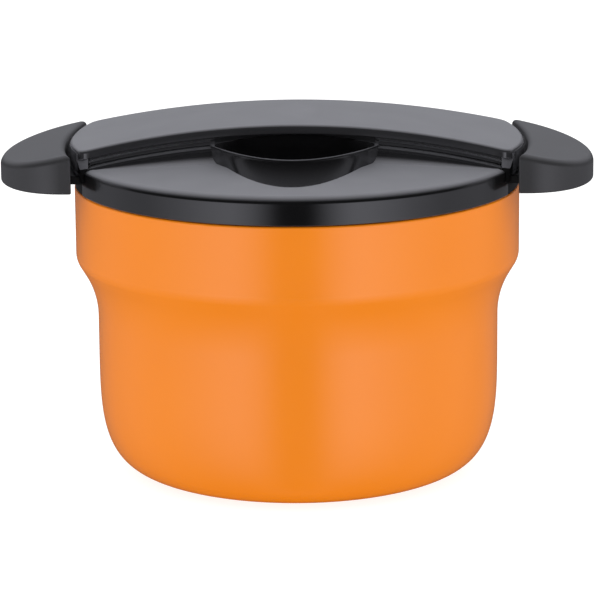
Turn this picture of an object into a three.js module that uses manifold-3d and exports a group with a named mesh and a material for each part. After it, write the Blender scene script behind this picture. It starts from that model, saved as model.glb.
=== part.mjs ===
// Thermal cooker: a vacuum vessel with two side handles, a lift-off insulated lid with a grip bar over
// its whole diameter, and a cooking pot with a lid of its own.
// Millimetres, +Z up, front towards -Y, handles along X, origin at the centre of the foot.

import * as THREE from 'three';
import { mergeVertices } from 'three/addons/utils/BufferGeometryUtils.js';
import Module from 'manifold-3d';

const wasm = await Module();
wasm.setup();

// Shared values
const fit = 0.3;
const overrun = 1;
const bodySteps = 32;
const potSteps = 28;
const smallSteps = 8;
const gripSteps = 14;
const pocketSteps = 8;

// Outer shell
const upperRadius = 102.5;
const rimHeight = 134.5;
const rimFillet = 1;
const stepDepth = 9.7;
const stepDrop = 31.6;
const stepHeight = 30.3;
const stepTopFillet = 8.9;
const stepBottomFillet = 42.2;
const lowerBand = 15;
const cornerPower = 3.5;
const footSetback = 36.4;
const footWidth = 7.4;
const footFillet = 1.2;
const footRecess = 4.5;
const shellWall = 0.9;

// Inner liner
const linerWall = 0.8;
const vacuumGap = 8.5;
const rimInset = 7.2;
const linerFloor = 14;
const linerFloorSetback = 14;
const linerCornerHeight = 24;
const linerStepLift = 5.4;
const linerStepHeight = 24;
const linerStepFillet = 12;

// Foil, bottom plate and seal
const foilWall = 0.3;
const plateFlange = 3;
const plateRise = 1.6;
const plateSlope = 3.7;
const plateWall = 0.9;
const sealHole = 3;
const sealHeadRadius = 5;
const sealHeadHeight = 1;
const getterRadius = 5;
const getterHeight = 2.4;
const getterOffset = 25;
const baseCoverLift = 1.9;
const baseCoverWall = 1.5;

// Rim collar with its two arms
const collarSetback = 0.5;
const collarPlay = 1.1;
const collarHeight = 8.5;
const collarChamfer = 0.8;
const collarLugInset = 0.4;
const armHalfWidth = 33;
const armLength = 21;
const armEndRadius = 9;

// Side handles
const handleLift = 2.5;
const handleHeight = 17.6;
const handleFallShare = 0.22;
const handleFaceGap = 1.7;
const handleFaceRadius = 179;
const handleRootSetback = 2;
const handleReach = 32.4;
const handleArmMargin = 11.5;
const handlePower = 2.15;
const handleTopFillet = 3;
const handleBottomEdge = 0.8;
const handleWall = 2.4;
const handleRoofShare = 1.5;
const handleBasePlate = 2.2;
const handleScrewSetback = 12;
const handleScrewSpread = 17;
const bossRadius = 4;

// Screws of the handles and the grip
const screwShank = 1.4;
const screwHeadRadius = 3;
const screwHeadHeight = 0.9;
const screwHeadRecess = 1.2;
const screwBore = 1.75;

// Outer lid
const skirtProud = 0.5;
const skirtWall = 2.5;
const skirtHeight = 13;
const skirtFillet = 3.5;
const lidWall = 2.3;
const lidRise = 5.7;
const notchPlay = 4;
const notchHeadroom = 0.7;

// Plinth under the grip bar
const archRise = 12.84;
const ledgeRise = 11.7;
const ledgeProud = 3;
const ledgeRound = 0.8;
const plinthFillet = 5;
const plinthFilletShare = 0.8;

// Grip bar
const barGap = 3;
const barWall = 4;
const barCrown = 1;
const barEdgeFillet = 1.6;
const barEdgeTurn = 80;
const barHalfWidth = 33.4;
const barFlare = 6.1;
const barOverhang = 1.8;
const barCoreInset = 3.5;
const clawLength = 11.6;
const clawDrop = 6.3;
const clawTaper = 11.4;
const barScrewPlace = 68;
const barScrewSpread = 18;
const screwArchShare = 0.125;

// Finger pockets in front of and behind the grip bar
const pocketHalfLength = 36.5;
const pocketEndInset = 0.4;
const lipMargin = 28.5;
const lipWidth = 2;
const footMargin = 14;
const footEndInset = 8.8;
const pocketFloorDrop = 4.4;
const pocketEndRiseShare = 0.7;
const pocketWall = 2.2;
const webHalfWidth = 14;

// Dish and foam under the lid
const plugPlay = 4;
const plugDrop = 6.5;
const plugFillet = 4;
const dishWall = 1.6;
const dishFlangeInset = 0.8;

// Cooking pot
const potPlay = 4.5;
const potWall = 0.8;
const potDrop = 26.5;
const potFlange = 4;
const potCornerHeight = 17;
const potCornerPower = 2.3;
const potFloorSetback = 16;
const potBaseInset = 2;
const potBaseHeight = 3.5;

// Brackets and wire handles of the pot
const bracketDrop = 6;
const bracketHeight = 7;
const bracketWall = 2;
const bracketHalfWidth = 26;
const lugSpread = 22;
const lugHalfWidth = 3.5;
const lugLength = 7.5;
const wireRadius = 2;
const wireFootSetOut = 5;
const wireHeight = 21.5;
const wireLean = 2.8;
const wireSides = 6;
const wireSteps = 20;

// Pot lid and its knob
const potLidPlay = 1;
const potLidWall = 0.8;
const potLidChannel = 4;
const potLidChannelWidth = 2.2;
const potLidDome = 4;
const potLidDomeShares = [[0.5, 0.75]];
const knobHeight = 12.6;
const knobRadius = 15;
const knobWaist = 8;
const knobFoot = 10;
const knobBoreDepth = 8;
const washerRadius = 7;
const washerHeight = 0.8;
const knobScrewShank = 1.9;
const knobScrewHead = 4;
const knobScrewHeadHeight = 1.6;
const knobHeightShares = { foot: 0.3, neck: 0.5, shoulder: 0.72, crown: 0.88 };
const knobCrownShare = 0.9;

// Heights and radii that follow
const lowerRadius = upperRadius - stepDepth;
const footRadius = lowerRadius - footSetback;
const stepTop = rimHeight - stepDrop;
const stepBottom = stepTop - stepHeight;
const cornerHeight = stepBottom - lowerBand;
const linerLower = lowerRadius - vacuumGap;
const linerUpper = upperRadius - rimInset;
const linerFloorRadius = linerLower - linerFloorSetback;
const linerStepBottom = stepBottom + linerStepLift;
const footInner = footRadius - footWidth;
const skirtOuter = upperRadius + skirtProud;
const skirtInner = skirtOuter - skirtWall;
const collarInner = linerUpper - linerWall + collarSetback;
const collarOuter = skirtInner - collarPlay;
const collarBottom = rimHeight + fit;
const collarTop = collarBottom + collarHeight;
const barEndRadius = upperRadius + barOverhang;
const archRadius = (barEndRadius ** 2 + archRise ** 2) / (2 * archRise);
const handleFaceMiddle = barEndRadius + handleFaceGap;
const handleRoot = handleFaceMiddle - handleRootSetback;
const handleScrewPlace = handleFaceMiddle + handleScrewSetback;
const armReach = handleFaceMiddle + armLength;
const handleHalfWidth = armHalfWidth + handleArmMargin;
const handleBottom = rimHeight + handleLift;
const armBottom = handleBottom + handleBasePlate + fit;
const lidBottom = rimHeight + fit;
const lidEdge = lidBottom + skirtHeight;
const lidEdgeRadius = skirtOuter - skirtFillet;
const plinthHalfLength = barEndRadius - clawLength;
const ledgeTop = lidEdge + ledgeRise;
const barBottom = ledgeTop + barGap;
const barEdge = barBottom + barWall;
const lipTop = ledgeTop - archDrop(pocketHalfLength);
const pocketFloor = lidEdge - pocketFloorDrop;
const pocketFront = barHalfWidth + ledgeProud - pocketEndInset;
const lipReach = lidEdgeRadius - lipMargin - pocketFront;
const footFront = pocketFront - footEndInset;
const footReach = lidEdgeRadius - footMargin - footFront;
const plugRadius = collarInner - plugPlay;
const plugBottom = rimHeight - plugDrop;
const dishSeat = collarTop + fit;
const dishFlangeRadius = collarOuter - dishFlangeInset;
const potRadius = linerLower - linerWall - potPlay;
const potFloorRadius = potRadius - potFloorSetback;
const potBaseRadius = potFloorRadius - potBaseInset;
const potRim = rimHeight - potDrop;
const bracketTop = potRim - bracketDrop;
const lugReach = potRadius + lugLength;
const wireFootPlace = potRadius + wireFootSetOut;
const potBaseBottom = linerFloor + linerWall + fit;
const potBottom = potBaseBottom + potBaseHeight + fit;
const potFlangeRadius = potRadius + potFlange;
const potLidBottom = potRim + fit;
const potLidRadius = potFlangeRadius - potLidPlay;

// Finishes
const finishes = {
  orangePaint: { color: 0xf18b35, roughness: 0.3, metalness: 0.0 },
  steel: { color: 0xc4c6c8, roughness: 0.35, metalness: 1.0 },
  copper: { color: 0xc77b4a, roughness: 0.3, metalness: 1.0 },
  getterMetal: { color: 0x8e8f92, roughness: 0.5, metalness: 1.0 },
  lidPlastic: { color: 0x2b2b30, roughness: 0.32, metalness: 0.0 },
  handlePlastic: { color: 0x333438, roughness: 0.55, metalness: 0.0 },
  collarPlastic: { color: 0x26262a, roughness: 0.5, metalness: 0.0 },
  dishPlastic: { color: 0x2e2e32, roughness: 0.45, metalness: 0.0 },
  foam: { color: 0xe9e4d6, roughness: 0.95, metalness: 0.0 },
};

// Height lost by the arch of the grip at a place along it
function archDrop(x) {
  return archRadius - Math.sqrt(archRadius ** 2 - x ** 2);
}

// Half width of the grip bar, which flares towards its ends
function barHalf(x) {
  return barHalfWidth + barFlare * (x / barEndRadius) ** 2;
}

// Height of the lid's shallow cone at a radius
function lidSurface(radius) {
  return lidEdge + lidRise * (1 - radius / lidEdgeRadius);
}

function v2(x, y) {
  return new THREE.Vector2(x, y);
}

// A closed solid from any three.js geometry whose faces join up
function solidOf(geometry) {
  const bare = geometry.clone();
  bare.deleteAttribute('normal');
  bare.deleteAttribute('uv');
  const merged = mergeVertices(bare);
  const place = merged.getAttribute('position');
  const corners = [];
  for (let i = 0; i < merged.index.count; i += 3) {
    const face = [0, 1, 2].map((k) => merged.index.getX(i + k));
    if (new Set(face).size === 3) corners.push(...face);
  }
  const points = Array.from({ length: place.count }, (_, i) => {
    const point = new THREE.Vector3();
    return point.fromBufferAttribute(place, i);
  });
  let volume = 0;
  for (let i = 0; i < corners.length; i += 3) {
    const [a, b, c] = [points[corners[i]], points[corners[i + 1]], points[corners[i + 2]]];
    volume += a.dot(b.clone().cross(c));
  }
  if (volume < 0) corners.reverse();
  return new wasm.Manifold(new wasm.Mesh({
    numProp: 3,
    vertProperties: new Float32Array(points.flatMap((p) => [p.x, p.y, p.z])),
    triVerts: new Uint32Array(corners),
  }));
}

function geometryOf(solid) {
  const data = solid.getMesh();
  const geometry = new THREE.BufferGeometry();
  geometry.setAttribute('position', new THREE.BufferAttribute(new Float32Array(data.vertProperties), 3));
  geometry.setIndex(new THREE.BufferAttribute(new Uint32Array(data.triVerts), 1));
  geometry.computeVertexNormals();
  return geometry;
}

function piece(name, solid, finish) {
  const material = new THREE.MeshStandardMaterial(finishes[finish]);
  const mesh = new THREE.Mesh(geometryOf(solid), material);
  mesh.name = name;
  return mesh;
}

// Points of an arc about a centre, angles in degrees
function arc(centre, radius, from, to, steps) {
  return Array.from({ length: steps + 1 }, (_, i) => {
    const angle = THREE.MathUtils.degToRad(from + (to - from) * i / steps);
    return v2(centre.x + radius * Math.cos(angle), centre.y + radius * Math.sin(angle));
  });
}

// The open line moved sideways to its left by a distance, with mitred corners
function offsetLine(points, distance) {
  return points.map((point, i) => {
    const before = points[Math.max(i - 1, 0)];
    const after = points[Math.min(i + 1, points.length - 1)];
    const into = point.clone().sub(i === 0 ? point : before);
    const out = (i === points.length - 1 ? point : after).clone().sub(point);
    const first = (i === 0 ? out : into).clone().normalize();
    const second = (i === points.length - 1 ? into : out).clone().normalize();
    const normal = v2(-(first.y + second.y), first.x + second.x);
    const stretch = 2 / normal.lengthSq();
    return point.clone().add(normal.multiplyScalar(distance * stretch));
  });
}

// The closed outline, running anticlockwise, drawn in by a distance
function insetOutline(points, distance) {
  const count = points.length;
  return points.map((point, i) => {
    const first = point.clone().sub(points[(i + count - 1) % count]).normalize();
    const second = points[(i + 1) % count].clone().sub(point).normalize();
    const normal = v2(-(first.y + second.y), first.x + second.x);
    return point.clone().add(normal.multiplyScalar(distance * 2 / normal.lengthSq()));
  });
}

// A profile of radius and height, closed on itself, turned about the Z axis
function revolve(profile, steps) {
  const turned = new THREE.LatheGeometry([...profile, profile[0]], steps);
  turned.rotateX(Math.PI / 2);
  return solidOf(turned);
}

// A sheet of even wall turned from its line
function revolveWall(line, wall, steps) {
  return revolve([...line, ...offsetLine(line, wall).reverse()], steps);
}

function cylinder(radius, low, high, steps = smallSteps) {
  const round = new THREE.CylinderGeometry(radius, radius, high - low, steps);
  round.rotateX(Math.PI / 2);
  round.translate(0, 0, (low + high) / 2);
  return solidOf(round);
}

function box(low, high) {
  const size = high.clone().sub(low);
  const block = new THREE.BoxGeometry(size.x, size.y, size.z);
  block.translate(...low.clone().add(high).multiplyScalar(0.5).toArray());
  return solidOf(block);
}

function prism(outline, low, high) {
  const depth = high - low;
  const body = new THREE.ExtrudeGeometry(new THREE.Shape(outline), { depth, bevelEnabled: false });
  body.translate(0, 0, low);
  return solidOf(body);
}

// Rings of equal count joined side by side, the first and last closed by a fan about their middle
function loft(rings) {
  const count = rings[0].length;
  const places = rings.flat();
  const corners = [];
  for (let r = 0; r < rings.length - 1; r += 1) {
    for (let i = 0; i < count; i += 1) {
      const [a, b] = [r * count + i, r * count + (i + 1) % count];
      corners.push(a, b, a + count, b, b + count, a + count);
    }
  }
  const close = (ring, first, lastly) => {
    const middle = ring.reduce((sum, p) => sum.add(p), new THREE.Vector3()).divideScalar(count);
    places.push(middle);
    for (let i = 0; i < count; i += 1) {
      const edge = [first + i, first + (i + 1) % count];
      corners.push(places.length - 1, ...(lastly ? edge : edge.reverse()));
    }
  };
  close(rings[0], 0, false);
  close(rings.at(-1), (rings.length - 1) * count, true);
  const geometry = new THREE.BufferGeometry();
  const numbers = places.flatMap((p) => [p.x, p.y, p.z]);
  geometry.setAttribute('position', new THREE.Float32BufferAttribute(numbers, 3));
  geometry.setIndex(corners);
  return solidOf(geometry);
}

// Even places from -1 to 1
function spread(steps) {
  return Array.from({ length: steps + 1 }, (_, i) => 2 * i / steps - 1);
}

// A wall line from a flat floor round a full corner and over a tapered step to its top
function steppedLine(size) {
  const across = size.upper - size.lower;
  const fillets = size.bottomFillet + size.topFillet;
  const straight = Math.sqrt(Math.max((across - fillets) ** 2 + size.stepHeight ** 2 - fillets ** 2, 0));
  const turn = THREE.MathUtils.radToDeg(Math.asin(
    (straight * (across - fillets) + fillets * size.stepHeight) / (straight ** 2 + fillets ** 2)));
  const corner = size.cornerShares.map((share) => {
    const angle = share * Math.PI / 2;
    return v2(
      size.foot + (size.lower - size.foot) * Math.sin(angle) ** (2 / size.power),
      size.floor + size.cornerHeight * (1 - Math.cos(angle) ** (2 / size.power)));
  });
  const lowCentre = v2(size.lower + size.bottomFillet, size.stepBottom);
  const lowArc = arc(lowCentre, size.bottomFillet, 180, 180 - turn, size.arcSteps);
  const highCentre = v2(size.upper - size.topFillet, size.stepBottom + size.stepHeight);
  const highArc = arc(highCentre, size.topFillet, -turn, 0, size.arcSteps);
  return [...corner, ...lowArc, ...highArc];
}

const shellCornerShares = [0, 0.13, 0.28, 0.42, 0.57, 0.72, 0.87, 1];
const linerCornerShares = [0, 0.28, 0.66, 1];

function outerShell() {
  const side = steppedLine({
    foot: footRadius, floor: 0, lower: lowerRadius, upper: upperRadius, power: cornerPower,
    cornerHeight, stepBottom, stepHeight, bottomFillet: stepBottomFillet,
    topFillet: stepTopFillet, cornerShares: shellCornerShares, arcSteps: 2,
  });
  const footArc = arc(v2(footInner + footFillet, footFillet), footFillet, 180, 270, 1);
  const rimArc = arc(v2(upperRadius - rimFillet, rimHeight - rimFillet), rimFillet, 0, 90, 1);
  const line = [v2(footInner, footRecess), ...footArc, ...side, ...rimArc, v2(linerUpper + fit, rimHeight)];
  return revolveWall(line, shellWall, bodySteps);
}

function linerLine() {
  return steppedLine({
    foot: linerFloorRadius, floor: linerFloor, lower: linerLower, upper: linerUpper, power: cornerPower,
    cornerHeight: linerCornerHeight, stepBottom: linerStepBottom, stepHeight: linerStepHeight,
    bottomFillet: linerStepFillet, topFillet: linerStepFillet, cornerShares: linerCornerShares, arcSteps: 1,
  });
}

function innerLiner() {
  const line = [v2(0, linerFloor), ...linerLine(), v2(linerUpper, rimHeight)];
  return revolveWall(line, linerWall, bodySteps);
}

function copperFoil() {
  const low = linerFloor + linerCornerHeight;
  const radius = linerLower + fit + foilWall;
  const line = [v2(radius, low), v2(radius, linerStepBottom)];
  return revolveWall(line, foilWall, bodySteps);
}

// The plate's flange lines the foot ring and its middle stands a little higher
function plateLine() {
  const edge = footInner - fit;
  const shoulder = plateRise + plateFlange;
  return [v2(edge, plateRise), v2(edge, shoulder), v2(edge - plateSlope, shoulder + plateRise),
    v2(sealHole, shoulder + plateRise)];
}

function bottomPlate() {
  return revolveWall(plateLine(), plateWall, bodySteps);
}

const plateTop = plateLine().at(-1).y;

function sealPlug() {
  const headTop = plateTop - plateWall - fit;
  const head = cylinder(sealHeadRadius, headTop - sealHeadHeight, headTop);
  return head.add(cylinder(sealHole - fit, headTop - sealHeadHeight / 2, plateTop + fit));
}

function getter() {
  return cylinder(getterRadius, plateTop + fit, plateTop + fit + getterHeight);
}

function baseCover() {
  const radius = footInner - fit - plateWall - fit;
  return cylinder(radius, baseCoverLift, baseCoverLift + baseCoverWall, bodySteps);
}

// A flat tongue with a rounded end, pointing along +X
function armOutline(halfWidth, reach, root) {
  const low = arc(v2(reach - armEndRadius, -halfWidth + armEndRadius), armEndRadius, -90, 0, 4);
  const high = arc(v2(reach - armEndRadius, halfWidth - armEndRadius), armEndRadius, 0, 90, 4);
  return [v2(root, -halfWidth), ...low, ...high, v2(root, halfWidth)];
}

function screwPlaces() {
  return [-1, 1].map((side) => v2(handleScrewPlace, side * handleScrewSpread));
}

function rimCollar() {
  const ring = revolve([
    v2(collarInner, collarBottom), v2(collarOuter, collarBottom),
    v2(collarOuter, collarTop - collarChamfer), v2(collarOuter - collarChamfer, collarTop),
    v2(collarInner + collarChamfer, collarTop), v2(collarInner, collarTop - collarChamfer),
  ], bodySteps);
  const root = (collarInner + collarOuter) / 2;
  const rootInner = Math.sqrt(root ** 2 - armHalfWidth ** 2);
  let arm = prism(armOutline(armHalfWidth, armReach, rootInner), armBottom, collarTop);
  const bore = cylinder(collarInner, collarBottom - overrun, collarTop + overrun, bodySteps);
  arm = arm.subtract(bore);
  for (const place of screwPlaces()) {
    const hole = cylinder(screwBore, armBottom - overrun, collarTop + overrun);
    arm = arm.subtract(hole.translate([place.x, place.y, 0]));
  }
  const lugBlock = box(
    new THREE.Vector3(rootInner, -armHalfWidth, collarBottom),
    new THREE.Vector3(upperRadius, armHalfWidth, collarTop - collarChamfer));
  const lugRadius = upperRadius - collarLugInset;
  const rim = cylinder(lugRadius, collarBottom - overrun, collarTop + overrun, bodySteps * 2);
  const lug = lugBlock.intersect(rim).subtract(bore);
  return ring.add(bothSides(arm.add(lug)));
}

// The grip's outline in plan: a full nose, straight flanks and a face that curves round the lid
function handleOutline() {
  const nose = spread(12).map((share) => {
    const angle = share * Math.PI / 2;
    const along = handleReach * Math.cos(angle) ** (2 / handlePower);
    const across = handleHalfWidth * Math.sign(angle) * Math.abs(Math.sin(angle)) ** (2 / handlePower);
    return v2(handleRoot + along, across);
  });
  const half = THREE.MathUtils.radToDeg(Math.asin(handleHalfWidth / handleFaceRadius));
  const face = arc(v2(handleFaceMiddle - handleFaceRadius, 0), handleFaceRadius, half, -half, 6);
  return [...nose.slice(1, -1), ...face];
}

function handleTop(x) {
  return handleBottom + handleHeight - handleFallShare * (x - handleRoot);
}

// Rings of the outline, each drawn in by its inset and set at its height
function handleRing(inset, heightAt) {
  return insetOutline(handleOutline(), inset).map((p) => new THREE.Vector3(p.x, p.y, heightAt(p.x)));
}

function handleShell() {
  const roundShares = [0, 0.5, 1];
  const crown = roundShares.map((share) => {
    const angle = share * Math.PI / 2;
    const inset = handleTopFillet * (1 - Math.cos(angle));
    return handleRing(inset, (x) => handleTop(x) - handleTopFillet * (1 - Math.sin(angle)));
  });
  const outside = loft([
    handleRing(handleBottomEdge, () => handleBottom),
    handleRing(0, () => handleBottom + handleBottomEdge),
    ...crown,
  ]);
  const inside = loft([
    handleRing(handleWall, () => handleBottom - overrun),
    handleRing(handleWall, (x) => handleTop(x) - handleTopFillet - handleWall / 2),
    handleRing(handleTopFillet, (x) => handleTop(x) - handleWall),
  ]);
  const window = box(
    new THREE.Vector3(handleRoot - handleReach, -armHalfWidth - fit, armBottom - fit),
    new THREE.Vector3(handleFaceMiddle + handleWall, armHalfWidth + fit, collarTop + fit));
  let shell = outside.subtract(inside).subtract(window);
  for (const place of screwPlaces()) {
    const roof = handleTop(place.x) - handleWall / 2;
    const boss = cylinder(bossRadius, collarTop + fit, roof);
    const bore = cylinder(screwBore, collarTop, roof - handleWall);
    shell = shell.add(boss.translate([place.x, place.y, 0]));
    shell = shell.subtract(bore.translate([place.x, place.y, 0]));
  }
  return shell;
}

function handleBase() {
  const outline = insetOutline(handleOutline(), handleWall + fit);
  let plate = prism(outline, handleBottom, handleBottom + handleBasePlate);
  for (const place of screwPlaces()) {
    const hole = cylinder(screwBore, handleBottom - overrun, handleBottom + handleBasePlate + overrun);
    const recess = cylinder(screwHeadRadius + fit, handleBottom - overrun, handleBottom + screwHeadRecess);
    plate = plate.subtract(hole.add(recess).translate([place.x, place.y, 0]));
  }
  return plate;
}

// A screw that stands on its head, with the head's bearing face at the origin
function screw(length) {
  const head = cylinder(screwHeadRadius, -screwHeadHeight, 0);
  return head.add(cylinder(screwShank, -screwHeadHeight / 2, length));
}

// A body lofted along the grip through its cross sections
function alongGrip(halfLength, section) {
  return loft(spread(gripSteps).map((share) => {
    const x = share * halfLength;
    return section(x).map((p) => new THREE.Vector3(x, p.x, p.y));
  }));
}

// A body of the grip with ends that follow the round lid
function roundEnded(radius, body) {
  return body.intersect(cylinder(radius, 0, barEdge * 2, bodySteps * 2));
}

// A half section completed by its mirror image, bottom centre first
function mirrored(half) {
  return [...half, ...half.slice().reverse().map((p) => v2(-p.x, p.y))];
}

function plinthOutside() {
  return alongGrip(plinthHalfLength, (x) => {
    const top = ledgeTop - archDrop(x);
    const side = barHalf(x) + ledgeProud;
    const ground = Math.min(lidSurface(Math.hypot(x, side)), top - ledgeRound * 2);
    const fillet = Math.min(plinthFillet, (top - ledgeRound - ground) * plinthFilletShare);
    const foot = arc(v2(side + fillet, ground + fillet), fillet, 270, 180, 2);
    return mirrored([
      v2(side + fillet, ground - lidWall), ...foot, v2(side, top - ledgeRound), v2(side - ledgeRound, top),
    ]);
  });
}

function plinthInside() {
  return alongGrip(plinthHalfLength - lidWall, (x) => {
    const side = barHalf(x) + ledgeProud - lidWall;
    const top = ledgeTop - archDrop(x) - lidWall;
    return mirrored([v2(side, top - ledgeRise), v2(side, top)]);
  });
}

// Places of the pocket's lip and of the foot of its swept wall, both bowed like a smile
function bow(x, front, reach) {
  return -(front + reach * (1 - (x / pocketHalfLength) ** 2));
}

function lipPlace(x) {
  return bow(x, pocketFront, lipReach);
}

function footPlace(x) {
  return Math.min(bow(x, footFront, footReach), lipPlace(x));
}

// The pocket's back wall under the bar, bowed the other way round the web in the middle
function backPlace(x) {
  return bow(x, pocketFront - lipWidth, webHalfWidth + lipWidth - pocketFront);
}

function alongPocket(halfLength, section) {
  return spread(pocketSteps).map((share) => {
    const x = share * halfLength;
    return section(x).map((p) => new THREE.Vector3(x, p.x, p.y));
  });
}

// The swept wall in front of a pocket: upright under its lip, running out forwards at its foot
function pocketSweep(inset) {
  const sweepShares = [0, 0.25, 0.52, 0.8, 1];
  return loft(alongPocket(pocketHalfLength - inset, (x) => {
    const lip = lipPlace(x) + inset;
    const foot = footPlace(x) + inset;
    const ground = lidSurface(Math.hypot(x, foot)) - inset;
    const top = lipTop - inset;
    const wall = sweepShares.map((share) => v2(
      foot + (lip - foot) * Math.sin(share * Math.PI / 2),
      ground + (top - ledgeRound - ground) * (1 - Math.cos(share * Math.PI / 2))));
    return [
      v2(-webHalfWidth, lidEdge - lidWall - inset), v2(foot, lidEdge - lidWall - inset), ...wall,
      v2(lip + ledgeRound, top), v2(-webHalfWidth, top),
    ];
  }));
}

// The finger space itself, open upwards, and the same grown by the pocket's wall
function pocketSpace(grow) {
  const halfLength = pocketHalfLength - lipWidth;
  return loft(spread(pocketSteps).map((share) => {
    const place = share * halfLength;
    const x = share * (halfLength + grow);
    const front = lipPlace(place) + lipWidth - grow;
    const back = backPlace(place) + grow;
    const rise = (lipTop - pocketFloor) * pocketEndRiseShare * share ** 4;
    const floor = pocketFloor + rise - grow;
    const bend = Math.min((lipTop - floor) / 2, (back - front) / 3);
    return [
      v2(front, barEdge), v2(front, floor + bend), v2(front + bend / 3, floor + bend / 3),
      v2(front + bend, floor), v2(back - bend / 2, floor), v2(back, floor + bend / 2), v2(back, barEdge),
    ].map((p) => new THREE.Vector3(x, p.x, p.y));
  }));
}

function bothSides(solid) {
  return solid.add(solid.rotate([0, 0, 180]));
}

function lidDisc() {
  const edge = arc(v2(lidEdgeRadius, lidEdge - skirtFillet), skirtFillet, 0, 90, 2);
  return revolve([v2(0, lidBottom), v2(skirtOuter, lidBottom), ...edge, v2(0, lidSurface(0))], bodySteps);
}

function lidHollow() {
  const roof = lidEdge - lidWall;
  const inner = skirtInner;
  const bend = skirtFillet / 2;
  return revolve([
    v2(0, lidBottom - overrun), v2(inner, lidBottom - overrun), v2(inner, roof - bend),
    v2(inner - bend, roof), v2(0, lidSurface(0) - lidWall),
  ], bodySteps);
}

function lidShell() {
  const outside = lidDisc().add(plinthOutside()).add(bothSides(pocketSweep(0)));
  const hollow = lidHollow().add(plinthInside()).add(bothSides(pocketSweep(lidWall)));
  const pocketCups = bothSides(pocketSpace(pocketWall)).intersect(outside);
  const notch = box(
    new THREE.Vector3(-barEndRadius - overrun, -armHalfWidth - notchPlay, lidBottom - overrun),
    new THREE.Vector3(barEndRadius + overrun, armHalfWidth + notchPlay, collarTop + notchHeadroom));
  const notchCore = cylinder(collarInner, lidBottom - overrun * 2, collarTop + overrun * 2, bodySteps);
  let shell = outside.subtract(hollow).add(pocketCups).subtract(bothSides(pocketSpace(0)));
  shell = shell.subtract(notch.subtract(notchCore));
  for (const place of gripScrewPlaces()) {
    const roof = ledgeTop - archDrop(place.x);
    const hole = cylinder(screwBore, roof - lidWall * 2, roof + overrun);
    shell = shell.subtract(hole.translate([place.x, place.y, 0]));
  }
  return shell;
}

function gripScrewPlaces() {
  return [[-1, -1], [1, -1], [-1, 1], [1, 1]].map(([a, b]) => v2(a * barScrewPlace, b * barScrewSpread));
}

// The lid's outside with a clearance on it, which the ends of the bar fit over
function lidEnvelope() {
  const outer = skirtOuter + fit;
  const edge = arc(v2(lidEdgeRadius, lidEdge - skirtFillet), skirtFillet + fit, 0, 90, 3);
  return revolve([v2(0, lidBottom), v2(outer, lidBottom), ...edge, v2(0, lidSurface(0) + fit)], bodySteps);
}

// The end of the bar runs down over the lid's rounded edge, with its corners cut off aslant
function gripClaw() {
  const root = plinthHalfLength + fit;
  const claw = loft([[root, 0], [barEndRadius + overrun, clawTaper]].map(([x, taper]) => {
    const drop = archDrop(x);
    const side = barHalf(root) - taper;
    const half = [
      v2(side + ledgeProud + ledgeRound, lidEdge - clawDrop), v2(side + ledgeProud, ledgeTop - drop),
      v2(side - ledgeRound, barBottom + ledgeRound - drop),
    ];
    return mirrored(half).map((p) => new THREE.Vector3(x, p.x, p.y));
  }));
  const arm = box(
    new THREE.Vector3(root - overrun, -armHalfWidth - notchPlay, lidBottom),
    new THREE.Vector3(barEndRadius + overrun * 2, armHalfWidth + notchPlay, collarTop + notchHeadroom));
  return claw.subtract(lidEnvelope()).subtract(arm);
}

const crownShares = [0.66, 0.33];

function gripBar() {
  const cap = alongGrip(barEndRadius + overrun, (x) => {
    const drop = archDrop(x);
    const side = barHalf(x);
    const edge = arc(v2(side - barEdgeFillet, barEdge - barEdgeFillet), barEdgeFillet, 0, barEdgeTurn, 2);
    const crown = crownShares.map((share) => v2(side * share, barEdge + barCrown * (1 - share ** 2)));
    return mirrored([v2(side, barBottom), ...edge, ...crown].map((p) => v2(p.x, p.y - drop)));
  });
  const core = alongGrip(plinthHalfLength, (x) => {
    const drop = archDrop(x);
    const side = barHalf(x) - barCoreInset;
    const middle = barBottom + barWall / 2;
    return mirrored([v2(side, ledgeTop + fit - drop), v2(side, middle - drop)]);
  });
  const back = spread(pocketSteps).map((share) => v2(
    share * pocketHalfLength, backPlace(share * (pocketHalfLength - lipWidth))));
  const clear = prism([
    v2(-pocketHalfLength, -pocketFront * 2), v2(pocketHalfLength, -pocketFront * 2), ...back.reverse(),
  ], ledgeTop - barGap, barBottom);
  const body = core.subtract(bothSides(clear)).add(cap).add(bothSides(gripClaw()));
  let bar = roundEnded(barEndRadius, body);
  for (const place of gripScrewPlaces()) {
    const seat = ledgeTop - archDrop(place.x);
    const bore = cylinder(screwBore, seat - overrun, seat + barGap + barWall / 2);
    bar = bar.subtract(bore.translate([place.x, place.y, 0]));
  }
  return bar;
}

function lidInnerCover() {
  const corner = arc(v2(plugRadius - plugFillet, plugBottom + plugFillet), plugFillet, 270, 360, 2);
  const line = [v2(0, plugBottom), ...corner, v2(plugRadius, dishSeat), v2(dishFlangeRadius, dishSeat)];
  return revolveWall(line, dishWall, bodySteps);
}

function lidFoam() {
  const radius = plugRadius - dishWall - fit;
  const low = plugBottom + dishWall + fit;
  const high = dishSeat + dishWall;
  const block = revolve([
    v2(0, low), v2(radius - plugFillet, low), v2(radius, low + plugFillet), v2(radius, high), v2(0, high),
  ], bodySteps);
  return block.subtract(bothSides(pocketSpace(pocketWall + fit)));
}

const potCornerShares = [0, 0.35, 0.7, 1];

function potLine() {
  return potCornerShares.map((share) => {
    const angle = share * Math.PI / 2;
    return v2(
      potFloorRadius + (potRadius - potFloorRadius) * Math.sin(angle) ** (2 / potCornerPower),
      potBottom + potCornerHeight * (1 - Math.cos(angle) ** (2 / potCornerPower)));
  });
}

function potBody() {
  const lip = potRim - potWall;
  const line = [v2(0, potBottom), ...potLine(), v2(potRadius, lip), v2(potFlangeRadius, lip)];
  return revolveWall(line, potWall, potSteps);
}

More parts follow.
